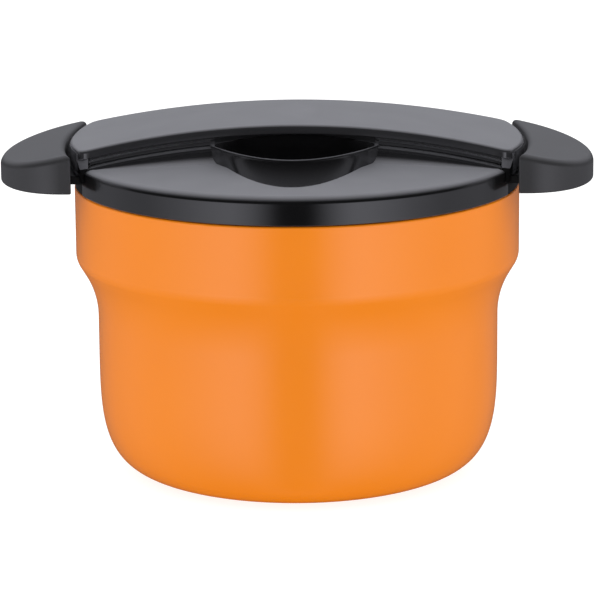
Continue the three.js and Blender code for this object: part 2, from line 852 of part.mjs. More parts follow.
function potBase() {
  return cylinder(potBaseRadius, potBaseBottom, potBaseBottom + potBaseHeight, potSteps);
}

function potBracket() {
  const half = THREE.MathUtils.radToDeg(Math.asin(bracketHalfWidth / (potRadius + fit)));
  const outside = arc(v2(0, 0), potRadius + fit + bracketWall, -half, half, 8);
  const inside = arc(v2(0, 0), potRadius + fit, half, -half, 8);
  let bracket = prism([...outside, ...inside], bracketTop - bracketHeight, bracketTop);
  for (const side of [-1, 1]) {
    const root = Math.sqrt((potRadius + fit + bracketWall / 2) ** 2 - lugSpread ** 2);
    bracket = bracket.add(box(
      new THREE.Vector3(root, side * lugSpread - lugHalfWidth, bracketTop - bracketHeight),
      new THREE.Vector3(lugReach, side * lugSpread + lugHalfWidth, bracketTop - fit)));
  }
  return bracket;
}

// Places on one half of the wire handle: along the pot, up, and out from it
const wirePlaceShares = [[1, 0, 0], [1, 0.32, 0.1], [0.97, 0.66, 0.7], [0.8, 0.93, 1], [0.45, 1, 1]];

function potHandle() {
  const rise = wireHeight - wireRadius;
  const half = wirePlaceShares.map(([side, up, out]) => new THREE.Vector3(
    wireFootPlace + wireLean * out, -side * lugSpread, bracketTop + rise * up));
  const other = half.slice().reverse().map((p) => new THREE.Vector3(p.x, -p.y, p.z));
  const path = new THREE.CatmullRomCurve3([...half, ...other]);
  const section = new THREE.Shape(arc(v2(0, 0), wireRadius, 0, 360 - 360 / wireSides, wireSides - 1));
  const along = { steps: wireSteps, bevelEnabled: false, extrudePath: path };
  return solidOf(new THREE.ExtrudeGeometry(section, along));
}

function potLidLine() {
  const plug = potRadius - potWall - potLidPlay;
  const channel = potLidBottom - potLidChannel;
  const middle = potLidBottom + potLidDome;
  const dome = potLidDomeShares.map(([out, up]) => v2(plug * out, potLidBottom + potLidDome * up));
  return [
    v2(knobScrewShank + fit * 2, middle), ...dome,
    v2(plug - potLidChannelWidth * 2, channel + potLidChannel / 4),
    v2(plug - potLidChannelWidth, channel), v2(plug, channel + potLidChannelWidth / 2),
    v2(plug, potLidBottom), v2(potLidRadius, potLidBottom),
  ];
}

function potLid() {
  return revolveWall(potLidLine(), potLidWall, potSteps);
}

const knobBottom = potLidBottom + potLidDome + potLidWall + fit;

function potLidKnob() {
  const top = knobBottom + knobHeight;
  const bore = knobScrewShank + fit;
  const at = (share) => knobBottom + knobHeight * share;
  return revolve([
    v2(bore, knobBottom), v2(knobFoot, knobBottom), v2(knobWaist, at(knobHeightShares.foot)),
    v2(knobWaist, at(knobHeightShares.neck)), v2(knobRadius, at(knobHeightShares.shoulder)),
    v2(knobRadius, at(knobHeightShares.crown)), v2(knobRadius * knobCrownShare, top), v2(0, top + fit),
    v2(0, knobBottom + knobBoreDepth), v2(bore, knobBottom + knobBoreDepth),
  ], smallSteps * 2);
}

const washerTop = potLidBottom + potLidDome - fit;

function knobWasher() {
  const hole = cylinder(knobScrewShank + fit, washerTop - washerHeight - overrun, washerTop + overrun);
  return cylinder(washerRadius, washerTop - washerHeight, washerTop).subtract(hole);
}

function knobScrew() {
  const seat = washerTop - washerHeight - fit;
  const tip = knobBottom + knobBoreDepth - fit;
  const head = cylinder(knobScrewHead, seat - knobScrewHeadHeight, seat);
  return head.add(cylinder(knobScrewShank, seat - knobScrewHeadHeight / 2, tip));
}

// The vessel with its collar, handles and their screws
function vesselGroup() {
  const group = new THREE.Group();
  const getterMesh = piece('getter', getter(), 'getterMetal');
  getterMesh.position.x = getterOffset;
  group.add(
    piece('outer_shell', outerShell(), 'orangePaint'),
    piece('inner_liner', innerLiner(), 'steel'),
    piece('copper_foil', copperFoil(), 'copper'),
    piece('bottom_plate', bottomPlate(), 'steel'),
    piece('seal_plug', sealPlug(), 'getterMetal'),
    getterMesh,
    piece('base_cover', baseCover(), 'collarPlastic'),
    piece('rim_collar', rimCollar(), 'collarPlastic'),
  );
  const shankTop = handleTop(handleScrewPlace) - handleWall * handleRoofShare - fit;
  const seat = handleBottom + screwHeadRecess - fit;
  for (const [side, turn] of [['right', 0], ['left', Math.PI]]) {
    const half = new THREE.Group();
    half.rotation.z = turn;
    half.add(
      piece(`handle_${side}`, handleShell(), 'handlePlastic'),
      piece(`handle_${side}_base`, handleBase(), 'handlePlastic'),
    );
    screwPlaces().forEach((place, i) => {
      const fastener = piece(`handle_${side}_screw_${i + 1}`, screw(shankTop - seat), 'steel');
      fastener.position.set(place.x, place.y, seat);
      half.add(fastener);
    });
    group.add(half);
  }
  return group;
}

function lidGroup() {
  const group = new THREE.Group();
  group.add(
    piece('lid_shell', lidShell(), 'lidPlastic'),
    piece('grip_bar', gripBar(), 'lidPlastic'),
    piece('lid_inner_cover', lidInnerCover(), 'dishPlastic'),
    piece('lid_foam', lidFoam(), 'foam'),
  );
  gripScrewPlaces().forEach((place, i) => {
    const roof = ledgeTop - archDrop(place.x);
    const seat = roof - lidWall - archDrop(place.x) * screwArchShare - fit;
    const fastener = piece(`grip_screw_${i + 1}`, screw(lidWall + barGap + barWall / 2 - fit), 'steel');
    fastener.position.set(place.x, place.y, seat);
    group.add(fastener);
  });
  return group;
}

function potGroup() {
  const group = new THREE.Group();
  group.add(piece('pot_body', potBody(), 'steel'), piece('pot_base', potBase(), 'steel'));
  for (const [side, turn] of [['right', 0], ['left', Math.PI]]) {
    const half = new THREE.Group();
    half.rotation.z = turn;
    half.add(
      piece(`pot_bracket_${side}`, potBracket(), 'steel'),
      piece(`pot_handle_${side}`, potHandle(), 'steel'),
    );
    group.add(half);
  }
  return group;
}

function potLidGroup() {
  const group = new THREE.Group();
  group.add(
    piece('pot_lid', potLid(), 'steel'),
    piece('pot_lid_knob', potLidKnob(), 'handlePlastic'),
    piece('knob_washer', knobWasher(), 'steel'),
    piece('knob_screw', knobScrew(), 'steel'),
  );
  return group;
}

const cooker = new THREE.Group();
cooker.add(vesselGroup(), lidGroup(), potGroup(), potLidGroup());

export default cooker;
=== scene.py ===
# Thermal cooker: an orange vacuum vessel with a black lid, a grip bar over it and two side handles,
# and a steel cooking pot with its own lid inside.
# Pieces are drawn in millimetres, +Z up, front towards -Y, and brought to metres when they are finished.

import math

import bpy
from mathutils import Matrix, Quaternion, Vector


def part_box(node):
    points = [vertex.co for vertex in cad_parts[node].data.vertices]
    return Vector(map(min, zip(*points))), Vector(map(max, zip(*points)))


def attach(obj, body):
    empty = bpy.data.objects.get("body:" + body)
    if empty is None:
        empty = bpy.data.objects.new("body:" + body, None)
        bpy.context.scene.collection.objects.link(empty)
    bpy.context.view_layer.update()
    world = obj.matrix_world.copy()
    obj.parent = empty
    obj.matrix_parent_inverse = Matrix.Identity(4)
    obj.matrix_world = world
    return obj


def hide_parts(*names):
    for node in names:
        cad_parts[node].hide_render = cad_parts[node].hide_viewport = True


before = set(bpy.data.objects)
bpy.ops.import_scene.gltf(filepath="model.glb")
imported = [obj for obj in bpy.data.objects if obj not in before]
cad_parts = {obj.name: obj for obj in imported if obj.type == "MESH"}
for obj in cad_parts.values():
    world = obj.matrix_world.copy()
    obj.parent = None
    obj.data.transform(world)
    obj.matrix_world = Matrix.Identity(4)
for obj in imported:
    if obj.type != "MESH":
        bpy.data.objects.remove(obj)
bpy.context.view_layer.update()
print("frame loaded:", len(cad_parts), "nodes")

mm = 0.001
fit = 0.3  # clearance between pieces that touch
overrun = 1  # how far a cutter runs past what it cuts
weld = 0.002  # points nearer than this are merged
shadingAngle = 32  # edges sharper than this stay sharp in the shading


def extent(node):
    low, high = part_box(node)
    return low / mm, high / mm


shellBox = extent("outer_shell")
linerBox = extent("inner_liner")
lidBox = extent("lid_shell")
barBox = extent("grip_bar")
dishBox = extent("lid_inner_cover")
collarBox = extent("rim_collar")
handleBox = extent("handle_right")
potBox = extent("pot_body")
coverBox = extent("pot_lid")


# Drawing


def deselectAll():
    if bpy.context.object and bpy.context.object.mode != "OBJECT":
        bpy.ops.object.mode_set(mode="OBJECT")
    bpy.ops.object.select_all(action="DESELECT")


def makeActive(piece):
    deselectAll()
    piece.select_set(True)
    bpy.context.view_layer.objects.active = piece


def editAll(piece):
    makeActive(piece)
    bpy.ops.object.mode_set(mode="EDIT")
    bpy.ops.mesh.select_all(action="SELECT")


def closeUp(piece):
    editAll(piece)
    bpy.ops.mesh.remove_doubles(threshold=weld)
    bpy.ops.mesh.fill_holes(sides=0)
    bpy.ops.mesh.normals_make_consistent(inside=False)
    bpy.ops.object.mode_set(mode="OBJECT")
    return piece


def arc(centre, radius, start, end, steps):
    turns = [math.radians(start + (end - start) * i / steps) for i in range(steps + 1)]
    return [(centre[0] + radius * math.cos(a), centre[1] + radius * math.sin(a)) for a in turns]


# A quarter round in the corner at (x, y), from a start of 0, 90, 180 or 270 degrees
def quarter(x, y, radius, start, steps):
    outwards = math.radians(start + 45)
    centreX = x - math.copysign(radius, math.cos(outwards))
    centreY = y - math.copysign(radius, math.sin(outwards))
    return arc((centreX, centreY), radius, start, start + 90, steps)


def shares(steps):
    return [i / steps for i in range(steps + 1)]


def spread(steps):
    return [2 * share - 1 for share in shares(steps)]


def quarterTurns(steps):
    return [share * math.pi / 2 for share in shares(steps)]


# A profile of radius and height is drawn point by point and spun about the upright axis
def turned(name, profile, steps=192, wall=0):
    deselectAll()
    bpy.ops.mesh.primitive_plane_add(size=1, location=(0, 0, 0))
    piece = bpy.context.object
    piece.name = name
    bpy.ops.object.mode_set(mode="EDIT")
    bpy.ops.mesh.merge(type="CENTER")
    places = [Vector((radius, 0, height)) for radius, height in profile]
    bpy.ops.transform.translate(value=places[0])
    for before, after in zip(places, places[1:]):
        bpy.ops.mesh.extrude_vertices_move(TRANSFORM_OT_translate={"value": after - before})
    bpy.ops.mesh.select_all(action="SELECT")
    bpy.ops.mesh.spin(steps=steps, angle=math.tau, center=(0, 0, 0), axis=(0, 0, 1))
    bpy.ops.mesh.select_all(action="SELECT")
    bpy.ops.mesh.remove_doubles(threshold=weld)
    bpy.ops.mesh.normals_make_consistent(inside=False)
    bpy.ops.object.mode_set(mode="OBJECT")
    if wall:
        thicken(piece, wall)
    return piece


def applyModifier(piece, modifier):
    makeActive(piece)
    bpy.ops.object.modifier_apply(modifier=modifier.name)


def thicken(piece, wall):
    sheet = piece.modifiers.new("Wall", "SOLIDIFY")
    sheet.thickness = wall
    sheet.offset = -1
    sheet.use_even_offset = True
    applyModifier(piece, sheet)


def soften(piece, width, segments, limit):
    edge = piece.modifiers.new("Edges", "BEVEL")
    edge.width = width
    edge.segments = segments
    edge.limit_method = "ANGLE"
    edge.angle_limit = math.radians(limit)
    applyModifier(piece, edge)


# A grid is laid through rings of points, each ring closed on itself, and its two ends are filled
def lofted(name, rings):
    deselectAll()
    columns = len(rings[0])
    bpy.ops.mesh.primitive_grid_add(x_subdivisions=columns, y_subdivisions=len(rings) - 1)
    piece = bpy.context.object
    piece.name = name
    flat = [n for ring in rings for p in [*ring, ring[0]] for n in p]
    piece.data.vertices.foreach_set("co", flat)
    return closeUp(piece)


def block(name, low, high):
    deselectAll()
    middle = [(a + b) / 2 for a, b in zip(low, high)]
    bpy.ops.mesh.primitive_cube_add(size=1, location=middle)
    piece = bpy.context.object
    piece.name = name
    piece.scale = [b - a for a, b in zip(low, high)]
    bpy.ops.object.transform_apply()
    return piece


def rod(name, radius, low, high, x=0, y=0, steps=32):
    deselectAll()
    middle = (x, y, (low + high) / 2)
    bpy.ops.mesh.primitive_cylinder_add(vertices=steps, radius=radius, depth=high - low, location=middle)
    piece = bpy.context.object
    piece.name = name
    bpy.ops.object.transform_apply()
    return piece


def combine(piece, other, operation):
    join = piece.modifiers.new("Combine", "BOOLEAN")
    join.operation = operation
    join.solver = "EXACT"
    join.object = other
    applyModifier(piece, join)
    bpy.data.objects.remove(other, do_unlink=True)
    return piece


def add(piece, *others):
    for other in others:
        combine(piece, other, "UNION")
    return piece


def cut(piece, *others):
    for other in others:
        combine(piece, other, "DIFFERENCE")
    return piece


def turnedRound(piece, name):
    twin = piece.copy()
    twin.data = piece.data.copy()
    twin.name = name
    bpy.context.collection.objects.link(twin)
    makeActive(twin)
    twin.rotation_euler = (0, 0, math.pi)
    bpy.ops.object.transform_apply()
    return twin


def withTwin(piece):
    return piece, turnedRound(piece, piece.name + "Twin")


def coat(piece, slot):
    piece.data.materials.clear()
    piece.data.materials.append(finishes[slot])


# The piece comes to metres, gets its shading and finish, and rides on its body
def finish(piece, body, slot, *nodes):
    makeActive(piece)
    piece.scale = (mm, mm, mm)
    bpy.ops.object.transform_apply()
    bpy.ops.object.shade_smooth_by_angle(angle=math.radians(shadingAngle))
    smooth = piece.modifiers.new("Shading", "WEIGHTED_NORMAL")
    smooth.keep_sharp = True
    smooth.weight = 80
    applyModifier(piece, smooth)
    coat(piece, slot)
    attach(piece, body)
    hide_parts(*nodes)


# Camera

camera = {
    "distance": 1600, "azimuth": 1.5, "elevation": 13.46, "roll": 0.47,
    "aimHeight": 77.6, "aimRight": 0.93, "focalPixels": 3436.8, "framePixels": 600, "sensor": 36,
    "clipEnd": 20,
}


def addCamera():
    around = math.radians(camera["azimuth"])
    up = math.radians(camera["elevation"])
    right = Vector((math.cos(around), math.sin(around), 0))
    back = Vector((math.cos(up) * math.sin(around), -math.cos(up) * math.cos(around), math.sin(up)))
    aim = Vector((0, 0, camera["aimHeight"])) + right * camera["aimRight"]
    deselectAll()
    bpy.ops.object.camera_add(location=(aim + back * camera["distance"]) * mm)
    eye = bpy.context.object
    eye.name = "camera"
    facing = back.to_track_quat("Z", "Y")
    tilt = Quaternion((0, 0, 1), -math.radians(camera["roll"]))
    eye.rotation_euler = (facing @ tilt).to_euler()
    eye.data.sensor_width = camera["sensor"]
    eye.data.lens = camera["focalPixels"] / camera["framePixels"] * camera["sensor"]
    eye.data.clip_end = camera["clipEnd"]
    eye.data.dof.use_dof = False
    bpy.context.scene.camera = eye


addCamera()
print("camera set")


# Finishes


# A socket is linked to its input, and a plain value is set there
def feed(tree, target, inputs):
    for key, value in inputs.items():
        if isinstance(value, bpy.types.NodeSocket):
            tree.links.new(value, target.inputs[key])
        else:
            target.inputs[key].default_value = value


def node(tree, kind, inputs=None, **settings):
    made = tree.nodes.new(kind)
    for key, value in settings.items():
        setattr(made, key, value)
    feed(tree, made, inputs or {})
    return made


def blank(name, colour, roughness, metallic=0.0):
    material = bpy.data.materials.new(name)
    material.use_nodes = True
    tree = material.node_tree
    shader = tree.nodes["Principled BSDF"]
    feed(tree, shader, {"Base Color": (*colour, 1), "Roughness": roughness, "Metallic": metallic})
    return material, tree, shader


def objectNoise(tree, scale, detail):
    place = node(tree, "ShaderNodeTexCoord").outputs["Object"]
    noise = node(tree, "ShaderNodeTexNoise", {"Vector": place, "Scale": scale, "Detail": detail})
    return noise.outputs["Fac"]


def between(tree, value, low, high, start=0.0, end=1.0, kind="LINEAR"):
    limits = {"From Min": start, "From Max": end, "To Min": low, "To Max": high}
    scaled = node(tree, "ShaderNodeMapRange", {"Value": value, **limits}, interpolation_type=kind)
    return scaled.outputs["Result"]


def calc(tree, operation, *values):
    result = node(tree, "ShaderNodeMath", dict(enumerate(values)), operation=operation)
    return result.outputs["Value"]


def ramp(tree, value, stops):
    made = node(tree, "ShaderNodeValToRGB", {"Fac": value})
    elements = made.color_ramp.elements
    while len(elements) < len(stops):
        elements.new(0.5)
    for element, (place, colour) in zip(elements, stops):
        element.position = place
        element.color = (*colour, 1)
    return made.outputs["Color"]


def levels(tree, value, stops):
    return ramp(tree, value, [(place, (level, level, level)) for place, level in stops])


blend = (0.3, 0.7)  # where the first of two mixed colours ends and the second starts


def mixColour(tree, value, first, second):
    return ramp(tree, value, [*zip(blend, (first, second))])


def bump(tree, shader, height, strength, distance):
    relief = node(tree, "ShaderNodeBump", {"Height": height, "Strength": strength, "Distance": distance})
    feed(tree, shader, {"Normal": relief.outputs["Normal"]})


paint = {
    "base": (0.705, 0.187, 0.001), "deep": (0.695, 0.182, 0.001), "roughness": 0.22, "cloud": 24,
    "mottle": 260, "mottleRange": (0.19, 0.25), "grain": 1400, "relief": 0.05, "reliefHeight": 0.00004,
}


def orangePaint():
    material, tree, shader = blank("orange_paint", paint["base"], paint["roughness"])
    cloud = objectNoise(tree, paint["cloud"], 2.0)
    mottle = objectNoise(tree, paint["mottle"], 3.0)
    feed(tree, shader, {
        "Base Color": mixColour(tree, cloud, paint["deep"], paint["base"]),
        "Roughness": between(tree, mottle, *paint["mottleRange"]),
    })
    bump(tree, shader, objectNoise(tree, paint["grain"], 2.0), paint["relief"], paint["reliefHeight"])
    return material


# Moulded plastic is satin, with sheen, where it faces up, and there its base colour is lifted as painted top
# light; on its walls and where it is marked as polished it is smooth and keeps its own dark colour, unless a
# face carries painted light
def mouldedPlastic(name, values):
    level = values["level"]
    material, tree, shader = blank(name, (level, level, level * values["blue"]), values["roughness"])
    facing = node(tree, "ShaderNodeTexCoord").outputs["Normal"]
    split = node(tree, "ShaderNodeSeparateXYZ", {"Vector": facing})
    upward = between(tree, split.outputs["Z"], 0, 1, *values["upward"], kind="SMOOTHSTEP")
    polishedUnlit = node(tree, "ShaderNodeAttribute", attribute_name="polishedUnlit").outputs["Fac"]
    upward = calc(tree, "SUBTRACT", upward, calc(tree, "MULTIPLY", upward, polishedUnlit))
    paintedLight = node(tree, "ShaderNodeAttribute", attribute_name="paintedLight").outputs["Fac"]
    cloud = between(tree, objectNoise(tree, values["cloud"], 2.0), *values["cloudRange"])
    # Painted top light and painted light: the base colour rises from the plastic's own dark level on
    # up-facing faces, and doesn't fall below the painted light level marked on the face
    shade = calc(tree, "MAXIMUM", between(tree, upward, level, values["satin"]), paintedLight)
    shade = calc(tree, "MULTIPLY", shade, cloud)
    blue = calc(tree, "MULTIPLY", shade, values["blue"])
    colour = node(tree, "ShaderNodeCombineColor", {"Red": shade, "Green": shade, "Blue": blue})
    fine = objectNoise(tree, values["grain"], 2.0)
    rough = between(tree, upward, values["roughness"], values["satinRoughness"])
    feed(tree, shader, {
        "Base Color": colour.outputs["Color"],
        "Roughness": calc(tree, "MULTIPLY", rough, between(tree, fine, *values["fineRange"])),
        "IOR": values["ior"],
        "Sheen Weight": between(tree, upward, 0, values["sheen"]),
        "Sheen Roughness": values["sheenRoughness"],
        "Sheen Tint": (*values["sheenTint"], 1),
    })
    bump(tree, shader, fine, values["relief"], values["reliefHeight"])
    return material


# The second level in each table is the painted top light of up-facing faces
lidPlastic = {
    "level": 0.003, "satin": 0.13, "blue": 1.12, "roughness": 0.17, "satinRoughness": 0.45, "ior": 1.56,
    "upward": (0.32, 1.0), "sheen": 0.15, "sheenRoughness": 0.5, "sheenTint": (0.9, 0.93, 1.0),
    "cloud": 60, "cloudRange": (0.9, 1.1), "grain": 2600, "fineRange": (0.97, 1.04), "relief": 0.01,
    "reliefHeight": 0.00002,
}
handlePlastic = {
    **lidPlastic, "level": 0.018, "satin": 0.052, "roughness": 0.42, "sheen": 0.1, "grain": 2200,
    "relief": 0.18, "reliefHeight": 0.00005,
}
collarPlastic = {**lidPlastic, "level": 0.008, "satin": 0.012, "roughness": 0.7, "sheen": 0.0, "ior": 1.3}
dishPlastic = {**lidPlastic, "level": 0.012, "satin": 0.02, "roughness": 0.34}


steel = {
    "grain": 2600, "drawnOut": 0.0012, "shadeShare": 0.9, "smoother": 0.06, "rougher": 0.08,
    "relief": 0.12, "reliefHeight": 0.00002,
}


# Brushing runs round the axis: the noise is drawn out along the turn
def brushedSteel(name, colour, roughness):
    material, tree, shader = blank(name, colour, roughness, 1.0)
    place = node(tree, "ShaderNodeTexCoord").outputs["Object"]
    split = node(tree, "ShaderNodeSeparateXYZ", {"Vector": place})
    across, depth, height = (split.outputs[axis] for axis in "XYZ")
    flat = node(tree, "ShaderNodeCombineXYZ", {"X": across, "Y": depth}).outputs["Vector"]
    reach = node(tree, "ShaderNodeVectorMath", {0: flat}, operation="LENGTH").outputs["Value"]
    turn = calc(tree, "MULTIPLY", calc(tree, "ARCTAN2", depth, across), steel["drawnOut"])
    drawn = node(tree, "ShaderNodeCombineXYZ", {"X": reach, "Y": turn, "Z": height}).outputs["Vector"]
    noise = node(tree, "ShaderNodeTexNoise", {"Vector": drawn, "Scale": steel["grain"], "Detail": 3.0})
    lines = noise.outputs["Fac"]
    shade = tuple(c * steel["shadeShare"] for c in colour)
    low, high = roughness - steel["smoother"], roughness + steel["rougher"]
    feed(tree, shader, {
        "Base Color": mixColour(tree, lines, shade, colour),
        "Roughness": between(tree, lines, low, high),
    })
    bump(tree, shader, lines, steel["relief"], steel["reliefHeight"])
    return material


foam = {
    "base": (0.8, 0.76, 0.66), "deep": (0.7, 0.66, 0.56), "pale": (0.84, 0.8, 0.7), "roughness": 0.95,
    "cells": 900, "relief": 0.4, "reliefHeight": 0.0003,
}


def softFoam():
    material, tree, shader = blank("foam", foam["base"], foam["roughness"])
    cells = objectNoise(tree, foam["cells"], 4.0)
    feed(tree, shader, {"Base Color": mixColour(tree, cells, foam["deep"], foam["pale"])})
    bump(tree, shader, cells, foam["relief"], foam["reliefHeight"])
    return material


plastics = {
    "lid_plastic": lidPlastic, "handle_plastic": handlePlastic, "collar_plastic": collarPlastic,
    "dish_plastic": dishPlastic,
}
# Colour and roughness of each metal
metals = {
    "stainless_steel": ((0.62, 0.61, 0.59), 0.27), "copper": ((0.7, 0.33, 0.17), 0.3),
    "getter_metal": ((0.3, 0.3, 0.31), 0.45),
}
finishes = {
    "orange_paint": orangePaint(),
    **{name: mouldedPlastic(name, values) for name, values in plastics.items()},
    **{name: brushedSteel(name, *look) for name, look in metals.items()},
    "foam": softFoam(),
}

slotOf = {
    "copper_foil": "copper", "getter": "getter_metal", "seal_plug": "getter_metal", "lid_foam": "foam",
    **{f"grip_screw_{number}": "stainless_steel" for number in (1, 2, 3, 4)},
}
for name, slot in slotOf.items():
    coat(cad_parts[name], slot)
print("finishes made:", len(finishes))


# Vessel

shell = {
    "upper": shellBox[1].x, "rim": shellBox[1].z, "rimFillet": 1.0, "wall": 0.9,
    "stepDepth": 9.7, "stepDrop": 31.6, "stepHeight": 30.3, "topFillet": 8.9, "bottomFillet": 42.2,
    "arcSteps": 14, "floor": 0, "lowerBand": 15, "cornerPower": 3.5, "cornerSteps": 40,
    "footSetback": 36.4, "footWidth": 7.4, "footFillet": 1.2, "footRecess": 4.5,
}
shell["lower"] = shell["upper"] - shell["stepDepth"]
shell["foot"] = shell["lower"] - shell["footSetback"]
shell["footInner"] = shell["foot"] - shell["footWidth"]
shell["stepTop"] = shell["rim"] - shell["stepDrop"]
shell["stepBottom"] = shell["stepTop"] - shell["stepHeight"]
shell["cornerHeight"] = shell["stepBottom"] - shell["lowerBand"]

liner = {
    "wall": 0.8, "vacuumGap": 8.5, "rimInset": 7.2, "floor": linerBox[0].z, "floorSetback": 14,
    "cornerHeight": 24, "stepLift": 5.4, "stepHeight": 24, "topFillet": 12, "bottomFillet": 12,
    "cornerSteps": 24, "arcSteps": 8,
}
liner["lower"] = shell["lower"] - liner["vacuumGap"]
liner["upper"] = shell["upper"] - liner["rimInset"]
liner["foot"] = liner["lower"] - liner["floorSetback"]
liner["stepBottom"] = shell["stepBottom"] + liner["stepLift"]


# A full corner between a floor and a wall, on a curve between a circle and a square
def fullCorner(foot, floor, radius, height, power, steps):
    corner = []
    for turn in quarterTurns(steps):
        out = math.sin(turn) ** (2 / power)
        up = 1 - max(math.cos(turn), 0) ** (2 / power)
        corner.append((foot + (radius - foot) * out, floor + height * up))
    return corner


# A wall from its floor round a full corner and over a tapered step to its top
def steppedLine(body):
    lower, upper, bottom, height = body["lower"], body["upper"], body["stepBottom"], body["stepHeight"]
    concave, convex = body["bottomFillet"], body["topFillet"]
    fillets = concave + convex
    across = upper - lower - fillets
    straight = math.sqrt(max(across ** 2 + height ** 2 - fillets ** 2, 0))
    slant = (straight * across + fillets * height) / (straight ** 2 + fillets ** 2)
    turn = math.degrees(math.asin(slant))
    corner = fullCorner(
        body["foot"], body["floor"], lower, body["cornerHeight"], shell["cornerPower"], body["cornerSteps"])
    lowArc = arc((lower + concave, bottom), concave, 180, 180 - turn, body["arcSteps"])
    highArc = arc((upper - convex, bottom + height), convex, -turn, 0, body["arcSteps"])
    return [*corner, *lowArc, *highArc]


def outerShell():
    foot, rim = shell["footFillet"], shell["rimFillet"]
    line = [
        (shell["footInner"], shell["footRecess"]), *quarter(shell["footInner"], 0, foot, 180, 5),
        *steppedLine(shell), *quarter(shell["upper"], shell["rim"], rim, 0, 6),
        (liner["upper"] + fit, shell["rim"]),
    ]
    piece = turned("vessel_shell", line, steps=256, wall=shell["wall"])
    finish(piece, "vessel", "orange_paint", "outer_shell")


def innerLiner():
    floor = liner["floor"]
    line = [(0, floor), (liner["lower"] / 2, floor), *steppedLine(liner), (liner["upper"], shell["rim"])]
    piece = turned("vessel_liner", line, steps=224, wall=liner["wall"])
    finish(piece, "vessel", "stainless_steel", "inner_liner")


# The groove is a table of steps outwards and of shares of its depth
plate = {
    "rise": 1.6, "flange": 3, "slope": 3.7, "wall": 0.9, "hole": 3, "bend": 0.8, "grooveRadius": 18,
    "grooveDepth": 0.7, "groove": [(2, 0), (1, 0.5), (0, 1), (-2, 1), (-3, 0.5), (-4, 0)],
}


def bottomPlate():
    edge = shell["footInner"] - fit
    shoulder = plate["rise"] + plate["flange"]
    flat = shoulder + plate["rise"]
    radius, depth = plate["grooveRadius"], plate["grooveDepth"]
    groove = [(radius + out, flat - depth * share) for out, share in plate["groove"]]
    line = [
        (edge, plate["rise"]), (edge, shoulder - plate["bend"]), (edge - plate["bend"], shoulder),
        (edge - plate["slope"], flat), *groove, (plate["hole"], flat),
    ]
    piece = turned("vessel_bottom_plate", line, steps=128, wall=plate["wall"])
    finish(piece, "vessel", "stainless_steel", "bottom_plate")


# The ridge is a table of distances from the edge and of heights
baseDisc = {"edge": 0.5, "ridge": [(9, 0), (8.4, 0.4), (7.6, 0.4), (7, 0)]}


def baseCover():
    low, high = extent("base_cover")
    radius, edge = high.x, baseDisc["edge"]
    ridge = [(radius - inwards, low.z + up) for inwards, up in baseDisc["ridge"]]
    line = [
        (0, low.z), *ridge, *quarter(radius, low.z, edge, 270, 4), *quarter(radius, high.z, edge, 0, 4),
        (0, high.z),
    ]
    piece = turned("vessel_base_cover", line, steps=128)
    finish(piece, "vessel", "collar_plastic", "base_cover")


outerShell()
innerLiner()
bottomPlate()
baseCover()
print("vessel made")


# Collar and side handles

collar = {
    "setback": 0.5, "play": 1.1, "chamfer": 0.8, "lugInset": 0.4, "armHalf": 33, "armEnd": 9,
    "armEdge": 0.5, "skirtWall": 2.5, "bottom": collarBox[0].z, "top": collarBox[1].z,
    "reach": collarBox[1].x,
}
collar["inner"] = liner["upper"] - liner["wall"] + collar["setback"]
collar["outer"] = lidBox[1].y - collar["skirtWall"] - collar["play"]

handle = {
    "bottom": handleBox[0].z, "height": handleBox[1].z - handleBox[0].z, "fall": 0.22, "faceRadius": 179,
    "faceGap": 1.7, "rootSetback": 2, "reach": 32.4, "half": handleBox[1].y, "power": 2.15, "topFillet": 3,
    "bottomEdge": 0.8, "wall": 2.4, "base": 2.2, "baseEdge": 0.3, "screwSetback": 12, "screwSpread": 17,
    "boss": 4, "corner": 1.1, "leastCorner": 0.2,
}
handle["face"] = barBox[1].x + handle["faceGap"]
handle["root"] = handle["face"] - handle["rootSetback"]
handle["screwPlace"] = handle["face"] + handle["screwSetback"]
collar["armBottom"] = handle["bottom"] + handle["base"] + fit

screw = {
    "shank": 1.4, "head": 3, "headHeight": 0.9, "recess": 1.2, "bore": 1.75, "tip": 0.3, "tipHeight": 0.4,
    "rimShare": 0.35, "slotReachShare": 0.56, "slotHalfShare": 0.16, "slotDepthShare": 0.6,
}


def inset(points, distance):
    moved = []
    for i, here in enumerate(points):
        before, after = Vector(points[i - 1]), Vector(points[(i + 1) % len(points)])
        first, second = (Vector(here) - before).normalized(), (after - Vector(here)).normalized()
        normal = Vector((-(first.y + second.y), first.x + second.x))
        moved.append(tuple(Vector(here) + normal * (2 * distance / normal.length_squared)))
    return moved


# The corner of an outline is rounded by a short curve that leaves and meets its two sides
def roundCorner(before, corner, after, reach, steps=6):
    corner, back, on = Vector(corner), Vector(before), Vector(after)
    start = corner + (back - corner).normalized() * reach
    end = corner + (on - corner).normalized() * reach
    return [tuple(start * (1 - s) ** 2 + corner * 2 * s * (1 - s) + end * s ** 2) for s in shares(steps)]


def handleOutline():
    nose = []
    for share in spread(96)[1:-1]:
        angle = share * math.pi / 2
        along = handle["reach"] * math.cos(angle) ** (2 / handle["power"])
        across = handle["half"] * math.copysign(abs(math.sin(angle)) ** (2 / handle["power"]), angle)
        nose.append((handle["root"] + along, across))
    half = math.degrees(math.asin(handle["half"] / handle["faceRadius"]))
    face = arc((handle["face"] - handle["faceRadius"], 0), handle["faceRadius"], half, -half, 32)
    return nose, face


# The outline drawn in by a distance, with what is left of its two round corners at the face
def handleInset(distance):
    nose, face = handleOutline()
    drawn = inset([*nose, *face], distance)
    nose, face = drawn[:len(nose)], drawn[len(nose):]
    reach = max(handle["corner"] - distance, handle["leastCorner"])
    top = roundCorner(nose[-1], face[0], face[2], reach)
    bottom = roundCorner(face[-3], face[-1], nose[0], reach)
    return [*nose, *top, *face[2:-2], *bottom]


